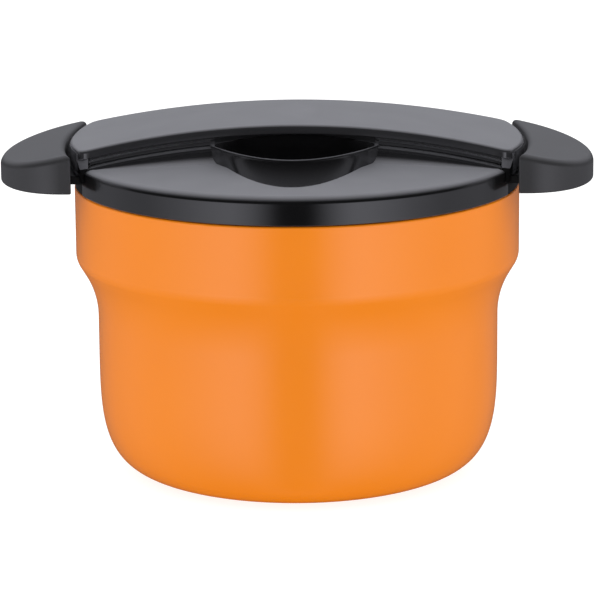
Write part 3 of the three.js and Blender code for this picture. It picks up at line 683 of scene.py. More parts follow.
def handleTop(x):
    return handle["bottom"] + handle["height"] - handle["fall"] * (x - handle["root"])


def handleRing(distance, heightAt):
    return [(x, y, heightAt(x)) for x, y in handleInset(distance)]


def screwPlaces():
    return [{"x": handle["screwPlace"], "y": side * handle["screwSpread"]} for side in (-1, 1)]


def sideHandle():
    bottom, edge, rounding, wall = handle["bottom"], handle["bottomEdge"], handle["topFillet"], handle["wall"]
    rings = []
    for turn in quarterTurns(4):
        rise = edge * (1 - math.cos(turn))
        rings.append(handleRing(edge * (1 - math.sin(turn)), lambda x: bottom + rise))
    for turn in quarterTurns(10):
        drop = rounding * (1 - math.sin(turn))
        rings.append(handleRing(rounding * (1 - math.cos(turn)), lambda x: handleTop(x) - drop))
    piece = lofted("side_handle_right", rings)
    inside = lofted("inside", [
        handleRing(wall, lambda x: bottom - overrun),
        handleRing(wall, lambda x: handleTop(x) - rounding - wall / 2),
        handleRing(rounding, lambda x: handleTop(x) - wall),
    ])
    half = collar["armHalf"] + fit
    window = block(
        "window", (handle["root"] - handle["reach"], -half, collar["armBottom"] - fit),
        (handle["face"] + wall, half, collar["top"] + fit))
    cut(piece, inside, window)
    roof = handleTop(handle["screwPlace"]) - wall / 2
    for place in screwPlaces():
        add(piece, rod("boss", handle["boss"], collar["top"] + fit, roof, **place))
        cut(piece, rod("bore", screw["bore"], collar["top"], roof - wall, **place))
    return piece


def handleBase():
    reach, edge = handle["wall"] + fit, handle["baseEdge"]
    low, high = handle["bottom"], handle["bottom"] + handle["base"]
    under, over = low - overrun, high + overrun
    piece = lofted("side_handle_base_right", [
        handleRing(reach + edge, lambda x: low), handleRing(reach, lambda x: low + edge),
        handleRing(reach, lambda x: high),
    ])
    for place in screwPlaces():
        cut(piece, rod("hole", screw["bore"], under, over, **place))
        cut(piece, rod("recess", screw["head"] + fit, under, low + screw["recess"], steps=48, **place))
    return piece


# A screw seen from below: a domed head with a cross recess
def plainScrew(name, head, headHeight, shank, seat, top, x, y):
    turns, rim = quarterTurns(6), screw["rimShare"]
    dome = [(head * math.cos(a), seat - headHeight * (rim + (1 - rim) * math.sin(a))) for a in turns]
    tip = dome[-1][1]
    piece = turned(name, [
        (0, top), (shank - screw["tip"], top), (shank, top - screw["tipHeight"]), (shank, seat), (head, seat),
        *dome[:-1], (0, tip),
    ], steps=48)
    reach, half = head * screw["slotReachShare"], head * screw["slotHalfShare"]
    low, high = tip - overrun, tip + headHeight * screw["slotDepthShare"]
    for wide, deep in ((reach, half), (half, reach)):
        cut(piece, block("slot", (-wide, -deep, low), (wide, deep, high)))
    makeActive(piece)
    piece.location = (x, y, 0)
    bpy.ops.object.transform_apply()
    return piece


def rimCollar():
    inner, outer, edge = collar["inner"], collar["outer"], collar["chamfer"]
    low, high = collar["bottom"], collar["top"]
    under, over = low - overrun, high + overrun
    piece = turned("vessel_collar", [
        (inner, low), (outer, low), *quarter(outer, high, edge, 0, 4), *quarter(inner, high, edge, 90, 4),
        (inner, low),
    ])
    half, reach, end = collar["armHalf"], collar["reach"], collar["armEnd"]
    rootInner = math.sqrt(((inner + outer) / 2) ** 2 - half ** 2)
    outline = [
        (rootInner, -half), *quarter(reach, -half, end, 270, 10), *quarter(reach, half, end, 0, 10),
        (rootInner, half),
    ]
    arm = lofted("arm", [
        [(x, y, collar["armBottom"]) for x, y in outline],
        [(x, y, high - collar["armEdge"]) for x, y in outline],
        [(x, y, high) for x, y in inset(outline, collar["armEdge"])],
    ])
    lug = block("lug", (rootInner, -half, low), (shell["upper"], half, high - edge))
    combine(lug, rod("rim", shell["upper"] - collar["lugInset"], under, over, steps=256), "INTERSECT")
    add(arm, lug)
    cut(arm, rod("bore", inner, under, over, steps=192))
    for place in screwPlaces():
        cut(arm, rod("hole", screw["bore"], collar["armBottom"] - overrun, over, **place))
    add(piece, *withTwin(arm))
    finish(piece, "vessel", "collar_plastic", "rim_collar")


def sideHandles():
    right = sideHandle()
    left = turnedRound(right, "side_handle_left")
    base = handleBase()
    baseLeft = turnedRound(base, "side_handle_base_left")
    for piece, target in ((right, "handle_right"), (left, "handle_left"),
                          (base, "handle_right_base"), (baseLeft, "handle_left_base")):
        finish(piece, "vessel", "handle_plastic", target)
    for target in [f"handle_{side}_screw_{number}" for side in ("right", "left") for number in (1, 2)]:
        low, high = extent(target)
        middle = (low + high) / 2
        piece = plainScrew(
            "side_" + target, screw["head"], screw["headHeight"], screw["shank"],
            low.z + screw["headHeight"], high.z, middle.x, middle.y)
        finish(piece, "vessel", "stainless_steel", target)


rimCollar()
sideHandles()
print("collar and side handles made")


# Outer lid

lid = {
    "skirt": lidBox[1].y, "skirtWall": 2.5, "skirtHeight": 13, "skirtFillet": 3.5, "skirtEdge": 0.4,
    "skirtFoot": 8, "wall": 2.3, "rise": 5.7, "rings": (99, 92, 80, 60, 30, 0), "bottom": lidBox[0].z,
    "notchPlay": 4, "notchHeadroom": 0.7, "notchReachShare": 0.9,
}
lid["edge"] = lid["bottom"] + lid["skirtHeight"]
lid["edgeRadius"] = lid["skirt"] - lid["skirtFillet"]

plinth = {
    "ledgeRise": 10.7, "ledgeProud": 3, "ledgeRound": 0.8, "fillet": 7, "filletShare": 0.9, "stations": 96,
}
# The wall and claw levels of the bar are painted light and a painted highlight
bar = {
    "archRise": 12.84, "gap": 4, "wall": 4, "edgeFillet": 1.6, "bottomEdge": 0.4, "half": 33.4,
    "flare": 6.1, "end": barBox[1].x, "corner": 5, "crownPower": 4, "coreInset": 3.5,
    "clawLength": 11.6, "clawDrop": 6.3, "clawTaper": 8,
    "ribDrop": 1.2, "ribHeight": 0.9, "ribProud": 2.3, "ribSetback": 1.7, "ribEdge": 0.2, "ribRound": 0.3,
    "ribPolish": 0.6, "paintedWallLight": 0.02, "paintedClawHighlight": 0.075,
    "underShares": (1, 0.5, 0.12), "topShares": (0.04, 0.1, 0.18, 0.28, 0.4, 0.55, 0.7, 0.85, 1),
}
bar["archRadius"] = (bar["end"] ** 2 + bar["archRise"] ** 2) / (2 * bar["archRise"])
plinth["half"] = bar["end"] - bar["clawLength"]
plinth["top"] = lid["edge"] + plinth["ledgeRise"]
bar["bottom"] = plinth["top"] + bar["gap"]
bar["edge"] = bar["bottom"] + bar["wall"]
bar["crown"] = barBox[1].z - bar["edge"]

# The lip and ledge shares are painted highlight lines, and the wall level is painted light
pocket = {
    "half": 37.9, "endInset": 0.4, "lipMargin": 28.5, "lipWidth": 1.9, "lipRound": 0.9, "footMargin": 14,
    "footEndInset": 8.8, "floorDrop": 4.4, "endRiseShare": 0.7, "wall": 2.2, "web": 14, "stations": 64,
    "footLift": 0.7, "footLead": 0.5, "footSink": 0.3, "lipRise": 1, "lipSheen": 0.36, "ledgeSheen": 0.28,
    "paintedWallLight": 0.012, "polishHalf": 33, "endRisePower": 4,
}


def archDrop(x):
    return bar["archRadius"] - math.sqrt(bar["archRadius"] ** 2 - x ** 2)


def barHalf(x):
    return bar["half"] + bar["flare"] * (x / bar["end"]) ** 2


def lidSurface(radius):
    return lid["edge"] + lid["rise"] * (1 - radius / lid["edgeRadius"])


pocket["lipTop"] = plinth["top"] + pocket["lipRise"] - archDrop(pocket["half"])
pocket["floor"] = lid["edge"] - pocket["floorDrop"]
pocket["front"] = bar["half"] + plinth["ledgeProud"] - pocket["endInset"]
pocket["lipReach"] = lid["edgeRadius"] - pocket["lipMargin"] - pocket["front"]
pocket["footFront"] = pocket["front"] - pocket["footEndInset"]
pocket["footReach"] = lid["edgeRadius"] - pocket["footMargin"] - pocket["footFront"]


def bow(x, front, reach):
    return -(front + reach * (1 - (x / pocket["half"]) ** 2))


def lipPlace(x):
    return bow(x, pocket["front"], pocket["lipReach"])


def footPlace(x):
    return min(bow(x, pocket["footFront"], pocket["footReach"]), lipPlace(x))


def backPlace(x):
    start = pocket["front"] - pocket["lipWidth"]
    return bow(x, start, pocket["web"] - start)


def mirrored(half):
    return [*half, *[(-y, z) for y, z in reversed(half)]]


def along(places, section):
    return [[(x, y, z) for y, z in section(x)] for x in places]


def lidDisc():
    edge = arc((lid["edgeRadius"], lid["edge"] - lid["skirtFillet"]), lid["skirtFillet"], 0, 90, 14)
    low, lip, outer = lid["bottom"], lid["skirtEdge"], lid["skirt"]
    cone = [(radius, lidSurface(radius)) for radius in lid["rings"]]
    foot = [(0, low), (outer - lid["skirtFoot"], low), (outer - lip, low), (outer, low + lip)]
    return turned("lid_top", [*foot, *edge, *cone], steps=256)


def lidHollow():
    roof, inner, bend = lid["edge"] - lid["wall"], lid["skirt"] - lid["skirtWall"], lid["skirtFillet"] / 2
    return turned("hollow", [
        (0, lid["bottom"] - overrun), (inner, lid["bottom"] - overrun),
        *quarter(inner, roof, bend, 0, 5), (0, lidSurface(0) - lid["wall"]),
    ])


def plinthSection(x):
    top = plinth["top"] - archDrop(x)
    side = barHalf(x) + plinth["ledgeProud"]
    rounding = plinth["ledgeRound"]
    ground = min(lidSurface(math.hypot(x, side + plinth["fillet"])), top - rounding * 2)
    fillet = min(plinth["fillet"], (top - rounding - ground) * plinth["filletShare"])
    foot = arc((side + fillet, ground + fillet), fillet, 268, 180, 10)
    ledge = quarter(side, top, rounding, 0, 5)
    return mirrored([(side + fillet, ground - lid["wall"]), *foot, *ledge])


# The swept wall in front of a pocket leans out at its foot and stands upright under its lip
def pocketSweep():
    outShares = [s * (2 - s) for s in shares(18)]
    upShares = [2 * s * (1 - s) * pocket["footLift"] + s * s for s in shares(18)]
    rounding, lead, back = pocket["lipRound"], pocket["footLead"], -pocket["web"]
    root = lid["edge"] - lid["wall"]

    def section(x):
        lip, foot = lipPlace(x), footPlace(x)
        ground = lidSurface(math.hypot(x, foot))
        rise = pocket["lipTop"] - rounding - ground
        wall = [(foot + (lip - foot) * a, ground + rise * b) for a, b in zip(outShares, upShares)]
        lean = (wall[0][0] - wall[1][0], wall[0][1] - wall[1][1])
        start = (foot + lean[0] * lead, ground + lean[1] * lead - pocket["footSink"])
        bead = arc((lip + rounding, pocket["lipTop"] - rounding), rounding, 180, 90, 6)
        return [(back, root), (foot, root), start, *wall, *bead[1:], (back, pocket["lipTop"])]

    return lofted("sweep", along([s * pocket["half"] for s in spread(pocket["stations"])], section))


# The finger space, open upwards, or the same grown by the pocket's wall
def pocketSpace(grow):
    half = pocket["half"] - pocket["lipWidth"]
    rings = []
    for share in spread(pocket["stations"]):
        place = share * half
        x = share * (half + grow)
        front = lipPlace(place) + pocket["lipWidth"] - grow
        back = backPlace(place) + grow
        rise = (pocket["lipTop"] - pocket["floor"]) * pocket["endRiseShare"] * share ** pocket["endRisePower"]
        floor = pocket["floor"] + rise - grow
        bend = min((pocket["lipTop"] - floor) / 2, (back - front) / 3)
        rounding = 0 if grow else pocket["lipRound"]
        lip = [(front - rounding, bar["edge"])]
        if not grow:
            lip += arc((front - rounding, pocket["lipTop"] - rounding), rounding, 90, 0, 5)
        else:
            lip += [(front, pocket["lipTop"])] * 6
        section = [
            *lip, *arc((front + bend, floor + bend), bend, 180, 270, 8),
            *arc((back - bend / 2, floor + bend / 2), bend / 2, 270, 360, 6), (back, bar["edge"]),
        ]
        rings.append([(x, y, z) for y, z in section])
    return lofted("pocket", rings)


# Two values are kept on the faces: how polished a face is, which also takes away its painted top light, and a
# painted light level below which its base colour doesn't fall
def faceTones(piece):
    attributes = piece.data.attributes
    for name in ("polishedUnlit", "paintedLight"):
        attributes.new(name, "FLOAT", "FACE")
    return zip(piece.data.polygons, attributes["polishedUnlit"].data, attributes["paintedLight"].data)


# Both finger pockets are polished and darker, without painted top light; their lips and the ledge beside them
# keep part of it as painted highlight lines, and the walls of the plinth get painted light, a little lighter
# than the skirt
def markLid(piece):
    for face, polishedUnlit, paintedLight in faceTones(piece):
        x, y, z = abs(face.center.x), -abs(face.center.y), face.center.z
        lip = lipPlace(x)
        onTop = lip < y < lip + pocket["lipWidth"] and z > pocket["lipTop"] - pocket["lipRound"]
        onPlinth = x < plinth["half"] and -y < barHalf(x) + plinth["ledgeProud"] + plinth["fillet"]
        # Painted highlight on the lip line, painted shade in the pockets, painted highlight and painted light
        # on the ledge and plinth walls
        if x < pocket["half"] and onTop:
            polishedUnlit.value = 1 - pocket["lipSheen"]
        elif x < pocket["polishHalf"] and footPlace(x) < y < -pocket["web"]:
            polishedUnlit.value = 1
        elif x < plinth["half"] and z > plinth["top"] - archDrop(x) - plinth["ledgeRound"]:
            polishedUnlit.value = 1 - pocket["ledgeSheen"]
            paintedLight.value = pocket["paintedWallLight"]
        elif onPlinth and z > lid["edge"]:
            paintedLight.value = pocket["paintedWallLight"]


# The space that the lid leaves free round a handle's arm
def armSpace(start, end, low):
    half, top = collar["armHalf"] + lid["notchPlay"], collar["top"] + lid["notchHeadroom"]
    return block("armSpace", (start, -half, low), (end, half, top))


def lidShell():
    piece = lidDisc()
    places = [s * plinth["half"] for s in spread(plinth["stations"])]
    add(piece, lofted("plinth", along(places, plinthSection)))
    add(piece, *withTwin(pocketSweep()))
    hollow = lidHollow()
    cut(hollow, *withTwin(pocketSpace(pocket["wall"])))
    cut(piece, hollow)
    cut(piece, *withTwin(pocketSpace(0)))
    low, high = lid["bottom"], collar["top"]
    for side in (-1, 1):
        start, end = sorted((side * (bar["end"] + overrun), side * shell["lower"] * lid["notchReachShare"]))
        notch = armSpace(start, end, low - overrun)
        cut(notch, rod("core", collar["inner"], low - overrun * 2, high + overrun * 2, steps=192))
        cut(piece, notch)
    markLid(piece)
    finish(piece, "outer_lid", "lid_plastic", "lid_shell")


# The bar's outline in plan: flared sides, ends on a circle and four small round corners
def barOutline():
    low, high = 0.0, bar["end"]
    for _ in range(40):
        middle = (low + high) / 2
        if math.hypot(middle, barHalf(middle)) < bar["end"]:
            low = middle
        else:
            high = middle
    endX, endY = low, barHalf(low)
    reach = bar["corner"]
    half = math.degrees(math.atan2(endY, endX)) - math.degrees(reach / bar["end"])
    front = [(x, -barHalf(x)) for x in [s * (endX - reach) for s in spread(90)]]
    right = arc((0, 0), bar["end"], -half, half, 40)
    corner = roundCorner(front[-1], (endX, -endY), right[0], reach)
    lower = [*front[:-1], *corner, *right[1:-1]]
    cornerUp = [(x, -y) for x, y in reversed(corner)]
    firstHalf = [*lower, *cornerUp]
    return [*firstHalf, *[(-x, -y) for x, y in firstHalf]]


def barHeight(x, y):
    share = min(abs(y) / barHalf(x), 1)
    return bar["edge"] - archDrop(x) + bar["crown"] * (1 - share ** bar["crownPower"])


def towardsSpine(point, share):
    spine = max(-bar["end"] + bar["half"], min(bar["end"] - bar["half"], point[0]))
    return (point[0] + (spine - point[0]) * share, point[1] * (1 - share))


def gripCap():
    outline = barOutline()
    edge, rounding = bar["bottomEdge"], bar["edgeFillet"]
    under, inner = inset(outline, edge), inset(outline, rounding)
    rings = []
    for share in bar["underShares"]:
        rings.append([(*towardsSpine(p, share), bar["bottom"] - archDrop(p[0])) for p in under])
    for turn in quarterTurns(3):
        drawn = inset(outline, edge * (1 - math.sin(turn)))
        rise = edge * (1 - math.cos(turn))
        rings.append([(x, y, bar["bottom"] - archDrop(x) + rise) for x, y in drawn])
    for turn in quarterTurns(9):
        drawn = inset(outline, rounding * (1 - math.cos(turn)))
        rings.append([(x, y, barHeight(x, y) - rounding * (1 - math.sin(turn))) for x, y in drawn])
    for share in bar["topShares"]:
        moved = [towardsSpine(p, share) for p in inner]
        rings.append([(x, y, barHeight(x, y)) for x, y in moved])
    return lofted("lid_grip_bar", rings)


def lidEnvelope():
    outer = lid["skirt"] + fit
    edge = arc((lid["edgeRadius"], lid["edge"] - lid["skirtFillet"]), lid["skirtFillet"] + fit, 0, 90, 12)
    return turned("envelope", [(0, lid["bottom"]), (outer, lid["bottom"]), *edge, (0, lidSurface(0) + fit)])


def gripClaw():
    root = plinth["half"] + fit
    rings = []
    for x, taper in ((root, 0), (bar["end"] + overrun, bar["clawTaper"])):
        drop = archDrop(x)
        side = barHalf(root) - taper
        half = [
            (side + plinth["ledgeProud"] + plinth["ledgeRound"], lid["edge"] - bar["clawDrop"]),
            (side + plinth["ledgeProud"], plinth["top"] - drop),
            (side - plinth["ledgeRound"], bar["bottom"] + plinth["ledgeRound"] - drop),
        ]
        rings.append([(x, y, z) for y, z in mirrored(half)])
    claw = lofted("claw", rings)
    arm = armSpace(root - overrun, bar["end"] + overrun * 2, lid["bottom"])
    cut(claw, lidEnvelope(), arm)
    combine(claw, rod("round", bar["end"], 0, bar["edge"] * 2, steps=256), "INTERSECT")
    return claw


def coreSection(x):
    side, drop = barHalf(x) - bar["coreInset"], archDrop(x)
    return mirrored([(side, plinth["top"] + fit - drop), (side, bar["bottom"] + bar["wall"] / 2 - drop)])


# A thin rib runs along the core, close under the bar
def ribSection(x):
    side = barHalf(x) - bar["ribSetback"] + bar["ribProud"] * (x / plinth["half"]) ** 2
    top = bar["bottom"] - bar["ribDrop"] - archDrop(x)
    low, edge, rounding = top - bar["ribHeight"], bar["ribEdge"], bar["ribRound"]
    return mirrored([(side - edge, low), (side, low + edge), (side, top - rounding), (side - rounding, top)])


# The claws get a painted highlight at their tops, the bar's walls get painted light, and the core and its rib
# are smoother than the bar, with less painted top light
def markBar(piece):
    for face, polishedUnlit, paintedLight in faceTones(piece):
        x, z = face.center.x, face.center.z
        # Painted light on every wall of the bar, and a painted highlight on the upper part of the claws
        paintedLight.value = bar["paintedWallLight"]
        if abs(x) > plinth["half"] and z < bar["bottom"] - archDrop(plinth["half"]):
            paintedLight.value = bar["paintedClawHighlight"] if z > lid["edge"] - bar["clawDrop"] / 3 else 0
        elif z < bar["bottom"] - archDrop(x) - bar["ribDrop"] / 2:
            polishedUnlit.value = bar["ribPolish"]


def gripBar():
    piece = gripCap()
    places = [s * plinth["half"] for s in spread(64)]
    core = lofted("core", along(places, coreSection))
    add(core, lofted("rib", along(places, ribSection)))
    squeeze = (pocket["half"] - pocket["lipWidth"]) / pocket["half"]
    places = [s * pocket["half"] for s in spread(40)]
    outline = [(x, -pocket["front"] * 2) for x in places]
    outline += [(x, backPlace(x * squeeze)) for x in reversed(places)]
    heights = (plinth["top"] - bar["gap"], bar["bottom"])
    clear = lofted("clear", [[(x, y, z) for x, y in outline] for z in heights])
    cut(core, *withTwin(clear))
    add(piece, core, *withTwin(gripClaw()))
    markBar(piece)
    finish(piece, "outer_lid", "lid_plastic", "grip_bar")


# The ridges under the dish start at two radii and share one table of steps
dish = {
    "play": 4, "fillet": 4, "wall": 1.6, "flangeInset": 0.8, "ridges": (30, 62),
    "ridge": [(0, 0), (1, 0.5), (3, 0.5), (4, 0)],
}


def lidDish():
    radius = collar["inner"] - dish["play"]
    low, seat = dishBox[0].z, collar["top"] + fit
    corner = quarter(radius, low, dish["fillet"], 270, 8)
    ridges = [(start + out, low + up) for start in dish["ridges"] for out, up in dish["ridge"]]
    flange = collar["outer"] - dish["flangeInset"]
    line = [(0, low), *ridges, *corner, (radius, seat), (flange, seat)]
    piece = turned("lid_dish", line, steps=224, wall=dish["wall"])
    finish(piece, "outer_lid", "dish_plastic", "lid_inner_cover")


lidShell()
print("lid shell made")
gripBar()
lidDish()
print("grip bar and dish made")


# Cooking pot

pot = {
    "wall": 0.8, "flange": 4, "lipBend": 1.2, "cornerHeight": 17, "cornerPower": 2.3, "floorSetback": 16,
    "floorShare": 0.6, "baseEdge": 0.8, "bottom": potBox[0].z, "rim": potBox[1].z,
}
pot["radius"] = potBox[1].x - pot["flange"]


def potBody():
    radius, bottom, bend = pot["radius"], pot["bottom"], pot["lipBend"]
    floor, lip = radius - pot["floorSetback"], pot["rim"] - pot["wall"]
    corner = fullCorner(floor, bottom, radius, pot["cornerHeight"], pot["cornerPower"], 24)
    line = [
        (0, bottom), (floor * pot["floorShare"], bottom), *corner, (radius, lip - bend),
        *arc((radius + bend, lip - bend), bend, 180, 90, 5), (radius + pot["flange"], lip),
    ]
    piece = turned("cooking_pot", line, steps=224, wall=pot["wall"])
    finish(piece, "pot", "stainless_steel", "pot_body")


def potBase():
    low, high = extent("pot_base")
    edge = pot["baseEdge"]
    profile = [(0, low.z), (high.x / 2, low.z), (high.x - edge, low.z), (high.x, low.z + edge),
               (high.x, high.z - edge), (high.x - edge, high.z), (0, high.z)]
    finish(turned("cooking_pot_base", profile, steps=192), "pot", "stainless_steel", "pot_base")


bracket = {"wall": 2, "half": 26, "lugSpread": 22, "lugHalf": 3.5, "edge": 0.4}
# Places on one half of the wire handle: along the pot, up, and out from it
wire = {
    "radius": 2, "setOut": 5, "lean": 2.8,
    "placeShares": [(1, 0, 0), (1, 0.32, 0.1), (0.97, 0.66, 0.7), (0.8, 0.93, 1), (0.45, 1, 1)],
}


def potBracket():
    low, high = extent("pot_bracket_right")
    inner = pot["radius"] + fit
    half = math.degrees(math.asin(bracket["half"] / inner))
    outline = [*arc((0, 0), inner + bracket["wall"], -half, half, 32), *arc((0, 0), inner, half, -half, 32)]
    piece = lofted("pot_ear_right", [[(x, y, z) for x, y in outline] for z in (low.z, high.z)])
    root = math.sqrt((inner + bracket["wall"] / 2) ** 2 - bracket["lugSpread"] ** 2)
    for side in (-1, 1):
        middle, lug = side * bracket["lugSpread"], bracket["lugHalf"]
        add(piece, block("lug", (root, middle - lug, low.z), (high.x, middle + lug, high.z - fit)))
    soften(piece, bracket["edge"], 2, 50)
    return piece, high.z


def potWire(foot):
    top = extent("pot_handle_right")[1].z
    rise = top - wire["radius"] - foot
    root = pot["radius"] + wire["setOut"]
    half = [(root + wire["lean"] * out, -side * bracket["lugSpread"], foot + rise * up)
            for side, up, out in wire["placeShares"]]
    places = [*half, *[(x, -y, z) for x, y, z in reversed(half)]]
    deselectAll()
    bpy.ops.curve.primitive_bezier_curve_add(location=(0, 0, 0))
    piece = bpy.context.object
    piece.name = "pot_wire_handle_right"
    spline = piece.data.splines[0]
    spline.bezier_points.add(len(places) - 2)
    for point, place in zip(spline.bezier_points, places):
        point.co = place
        point.handle_left_type = point.handle_right_type = "AUTO"
    spline.resolution_u = 10
    piece.data.bevel_depth = wire["radius"]
    piece.data.bevel_resolution = 5
    piece.data.use_fill_caps = True
    makeActive(piece)
    bpy.ops.object.convert(target="MESH")
    return bpy.context.object


def potHandles():
    ear, top = potBracket()
    earTwin = turnedRound(ear, "pot_ear_left")
    loop = potWire(top)
    loopTwin = turnedRound(loop, "pot_wire_handle_left")
    for piece, target in ((ear, "pot_bracket_right"), (earTwin, "pot_bracket_left"),
                         (loop, "pot_handle_right"), (loopTwin, "pot_handle_left")):
        finish(piece, "pot", "stainless_steel", target)


cover = {
    "play": 1, "wall": 0.8, "channel": 4, "channelWidth": 2.2, "channelLift": 0.35, "footInset": 0.8,
    "footLift": 0.2, "footBend": 1.2, "flangeBend": 0.6, "dome": 4, "dipShare": 0.75, "dipPower": 6,
    "holePlay": 0.75,
}


def facesDown(piece):
    return sum(face.area * face.normal.z for face in piece.data.polygons) < 0


def potLid():
    plug, bottom = pot["radius"] - pot["wall"] - cover["play"], pot["rim"] + fit
    width, bend, channel = cover["channelWidth"], cover["flangeBend"], bottom - cover["channel"]
    hole = screw["bore"] + cover["holePlay"]
    dome = []
    for share in shares(12):
        dip = cover["channel"] * cover["dipShare"] * share ** cover["dipPower"]
        radius = hole + (plug - width * 2 - hole) * share
        dome.append((radius, bottom + cover["dome"] * (1 - share ** 2) - dip))
    line = [
        *dome, (plug - width * 1.5, channel + cover["channelLift"]), (plug - width, channel),
        (plug - cover["footInset"], channel + cover["footLift"]), (plug, channel + cover["footBend"]),
        (plug, bottom - bend), (plug + bend, bottom), (coverBox[1].x, bottom),
    ]
    piece = turned("pot_cover", line, steps=224)
    thicken(piece, -cover["wall"] if facesDown(piece) else cover["wall"])
    finish(piece, "pot_lid", "stainless_steel", "pot_lid")


# Radii with steps up from the foot, shares of the height, and steps down from the top
knob = {
    "bore": 2.2, "boreDepth": 8, "rounding": 0.35, "screwHead": 1.6, "screwShank": 1.9,
    "foot": [(9.6, 0), (10, 0.4)],
    "neckShares": [(9.2, 0.18), (8.2, 0.36), (8.2, 0.48), (10, 0.6), (13.6, 0.7), (14.8, 0.78)],
    "widestShare": 0.84, "browShares": [(14.6, 0.92), (13.6, 0.975)],
    "top": [(12.4, 0), (9, 0), (7.6, 0.5), (0, 0.8)],
}
washer = {"bore": 2.5, "edge": 0.2}


def potKnob():
    low, high = extent("pot_lid_knob")
    bottom, height, bore = low.z, high.z - low.z, knob["bore"]
    sides = [*knob["neckShares"], (high.x, knob["widestShare"]), *knob["browShares"]]
    line = [
        (bore, bottom), *[(out, bottom + up) for out, up in knob["foot"]],
        *[(out, bottom + height * share) for out, share in sides],
        *[(out, high.z - down) for out, down in knob["top"]],
        (0, bottom + knob["boreDepth"]), (bore, bottom + knob["boreDepth"]), (bore, bottom),
    ]
    piece = turned("pot_cover_knob", line, steps=96)
    soften(piece, knob["rounding"], 3, 20)
    finish(piece, "pot_lid", "handle_plastic", "pot_lid_knob")


def knobFasteners():
    low, high = extent("knob_washer")
    bore, edge = washer["bore"], washer["edge"]
    piece = turned("pot_cover_washer", [
        (bore, low.z), (high.x - edge, low.z), (high.x, low.z + edge), (high.x, high.z - edge),
        (high.x - edge, high.z), (bore, high.z), (bore, low.z),
    ], steps=64)
    finish(piece, "pot_lid", "stainless_steel", "knob_washer")
    low, high = extent("knob_screw")
    seat = low.z + knob["screwHead"]
    piece = plainScrew("pot_cover_screw", high.x, knob["screwHead"], knob["screwShank"], seat, high.z, 0, 0)
    finish(piece, "pot_lid", "stainless_steel", "knob_screw")


potBody()
potBase()
potHandles()
potLid()
potKnob()
knobFasteners()
print("cooking pot made")


# Stage

# Levels of the studio. Glossy surfaces see soft strips of light by azimuth below the horizon,
# which fade downwards, and a band of sky that runs from the back over the top to the front.
# The soft light grows towards the top and towards both sides. Steel that mirrors steel, as inside the pot,
# sees a plain bright room.
studio = {
    "floorReach": 8, "floorDrop": 0.05, "floorGlow": 0.85, "floorBounce": 1.1, "floorShade": 0.3,
    "soft": (0.65, 1.0, 1.0), "strips": 1.85, "inside": 1.2, "mirrorDepth": 1.5, "horizon": 0.03,
    "tint": (0.98, 0.98, 1.08),
    "around": [
        (-180, 0.02), (-145, 0.12), (-125, 0.17), (-110, 0.26), (-80, 0.32), (-60, 0.55), (-45, 0.8),
        (-32, 0.95), (-22, 0.72), (-8, 0.0), (9, 0.0), (21, 0.66), (29, 0.98), (36, 0.98), (48, 0.8),
        (62, 0.55), (80, 0.34), (108, 0.27), (122, 0.16), (145, 0.14), (180, 0.02),
    ],
    "fade": (-0.92, -0.24), "fadeLevel": 0.08,
    "over": [
        (0, 0.0), (8, 0.04), (20, 0.33), (40, 0.38), (50, 0.38), (62, 0.14), (74, 0.05), (100, 0.02),
        (180, 0.02),
    ],
}


def mixShader(tree, share, first, second):
    mixed = {"Fac": share, 1: first.outputs[0], 2: second.outputs[0]}
    return node(tree, "ShaderNodeMixShader", mixed)


def mixLevel(tree, share, first, second):
    mixed = node(tree, "ShaderNodeMix", data_type="FLOAT")
    feed(tree, mixed, {0: share, 2: first, 3: second})
    return mixed.outputs[0]


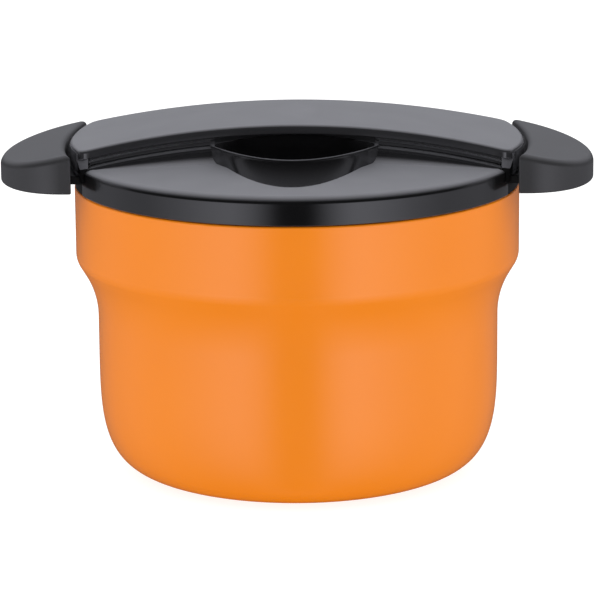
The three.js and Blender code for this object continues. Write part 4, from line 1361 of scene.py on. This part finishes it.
# The floor looks white, takes the shadow, lets glossy rays through to the strips and is clear from below
def stageFloor():
    deselectAll()
    place = (0, 0, -studio["floorDrop"] * mm)
    bpy.ops.mesh.primitive_plane_add(size=studio["floorReach"] * 2, location=place)
    floor = bpy.context.object
    floor.name = "floor"
    material = bpy.data.materials.new("floor")
    material.use_nodes = True
    tree = material.node_tree
    tree.nodes.clear()
    rays = node(tree, "ShaderNodeLightPath").outputs
    level = between(tree, rays["Is Camera Ray"], studio["floorBounce"], studio["floorGlow"])
    glow = node(tree, "ShaderNodeEmission", {"Color": (1, 1, 1, 1), "Strength": level})
    shade = studio["floorShade"]
    shaded = node(tree, "ShaderNodeBsdfDiffuse", {"Color": (shade, shade, shade, 1)})
    white = node(tree, "ShaderNodeAddShader", {0: glow.outputs[0], 1: shaded.outputs[0]})
    clear = node(tree, "ShaderNodeBsdfTransparent")
    back = node(tree, "ShaderNodeNewGeometry").outputs["Backfacing"]
    surface = mixShader(tree, calc(tree, "MAXIMUM", rays["Is Glossy Ray"], back), white, clear)
    node(tree, "ShaderNodeOutputMaterial", {"Surface": surface.outputs[0]})
    floor.data.materials.append(material)


def background(tree, colour, strength):
    return node(tree, "ShaderNodeBackground", {"Color": (*colour, 1), "Strength": strength})


def stageWorld():
    world = bpy.data.worlds.new("studio")
    bpy.context.scene.world = world
    world.use_nodes = True
    tree = world.node_tree
    tree.nodes.clear()
    rays = node(tree, "ShaderNodeLightPath").outputs
    place = node(tree, "ShaderNodeTexCoord").outputs["Generated"]
    split = node(tree, "ShaderNodeSeparateXYZ", {"Vector": place})
    across, depth, height = (split.outputs[axis] for axis in "XYZ")
    azimuth = calc(tree, "ARCTAN2", across, calc(tree, "MULTIPLY", depth, -1.0))
    turn = between(tree, azimuth, 0, 1, -math.pi, math.pi)
    strips = levels(tree, turn, [((angle + 180) / 360, level) for angle, level in studio["around"]])
    fade = between(tree, height, studio["fadeLevel"], 1, *studio["fade"])
    below = calc(tree, "MULTIPLY", calc(tree, "MULTIPLY", strips, fade), studio["strips"])
    climb = between(tree, calc(tree, "ARCTAN2", height, depth), 0, 1, 0, math.pi)
    above = levels(tree, climb, [(angle / 180, level) for angle, level in studio["over"]])
    horizon = between(tree, height, 0, 1, -studio["horizon"], studio["horizon"])
    shine = mixLevel(tree, horizon, below, above)
    again = calc(tree, "GREATER_THAN", rays["Glossy Depth"], studio["mirrorDepth"])
    glossy = background(tree, studio["tint"], mixLevel(tree, again, shine, studio["inside"]))
    base, lift, side = studio["soft"]
    raised = calc(tree, "MULTIPLY", calc(tree, "MULTIPLY", height, height), lift)
    widened = calc(tree, "MULTIPLY", calc(tree, "MULTIPLY", across, across), side)
    soft = calc(tree, "ADD", calc(tree, "ADD", raised, widened), base)
    lighting = mixShader(tree, rays["Is Glossy Ray"], background(tree, (1, 1, 1), soft), glossy)
    seen = mixShader(tree, rays["Is Camera Ray"], lighting, background(tree, (1, 1, 1), 1))
    node(tree, "ShaderNodeOutputWorld", {"Surface": seen.outputs[0]})


stageFloor()
stageWorld()
bpy.context.scene.view_settings.view_transform = "Standard"
print("stage set")

deselectAll()
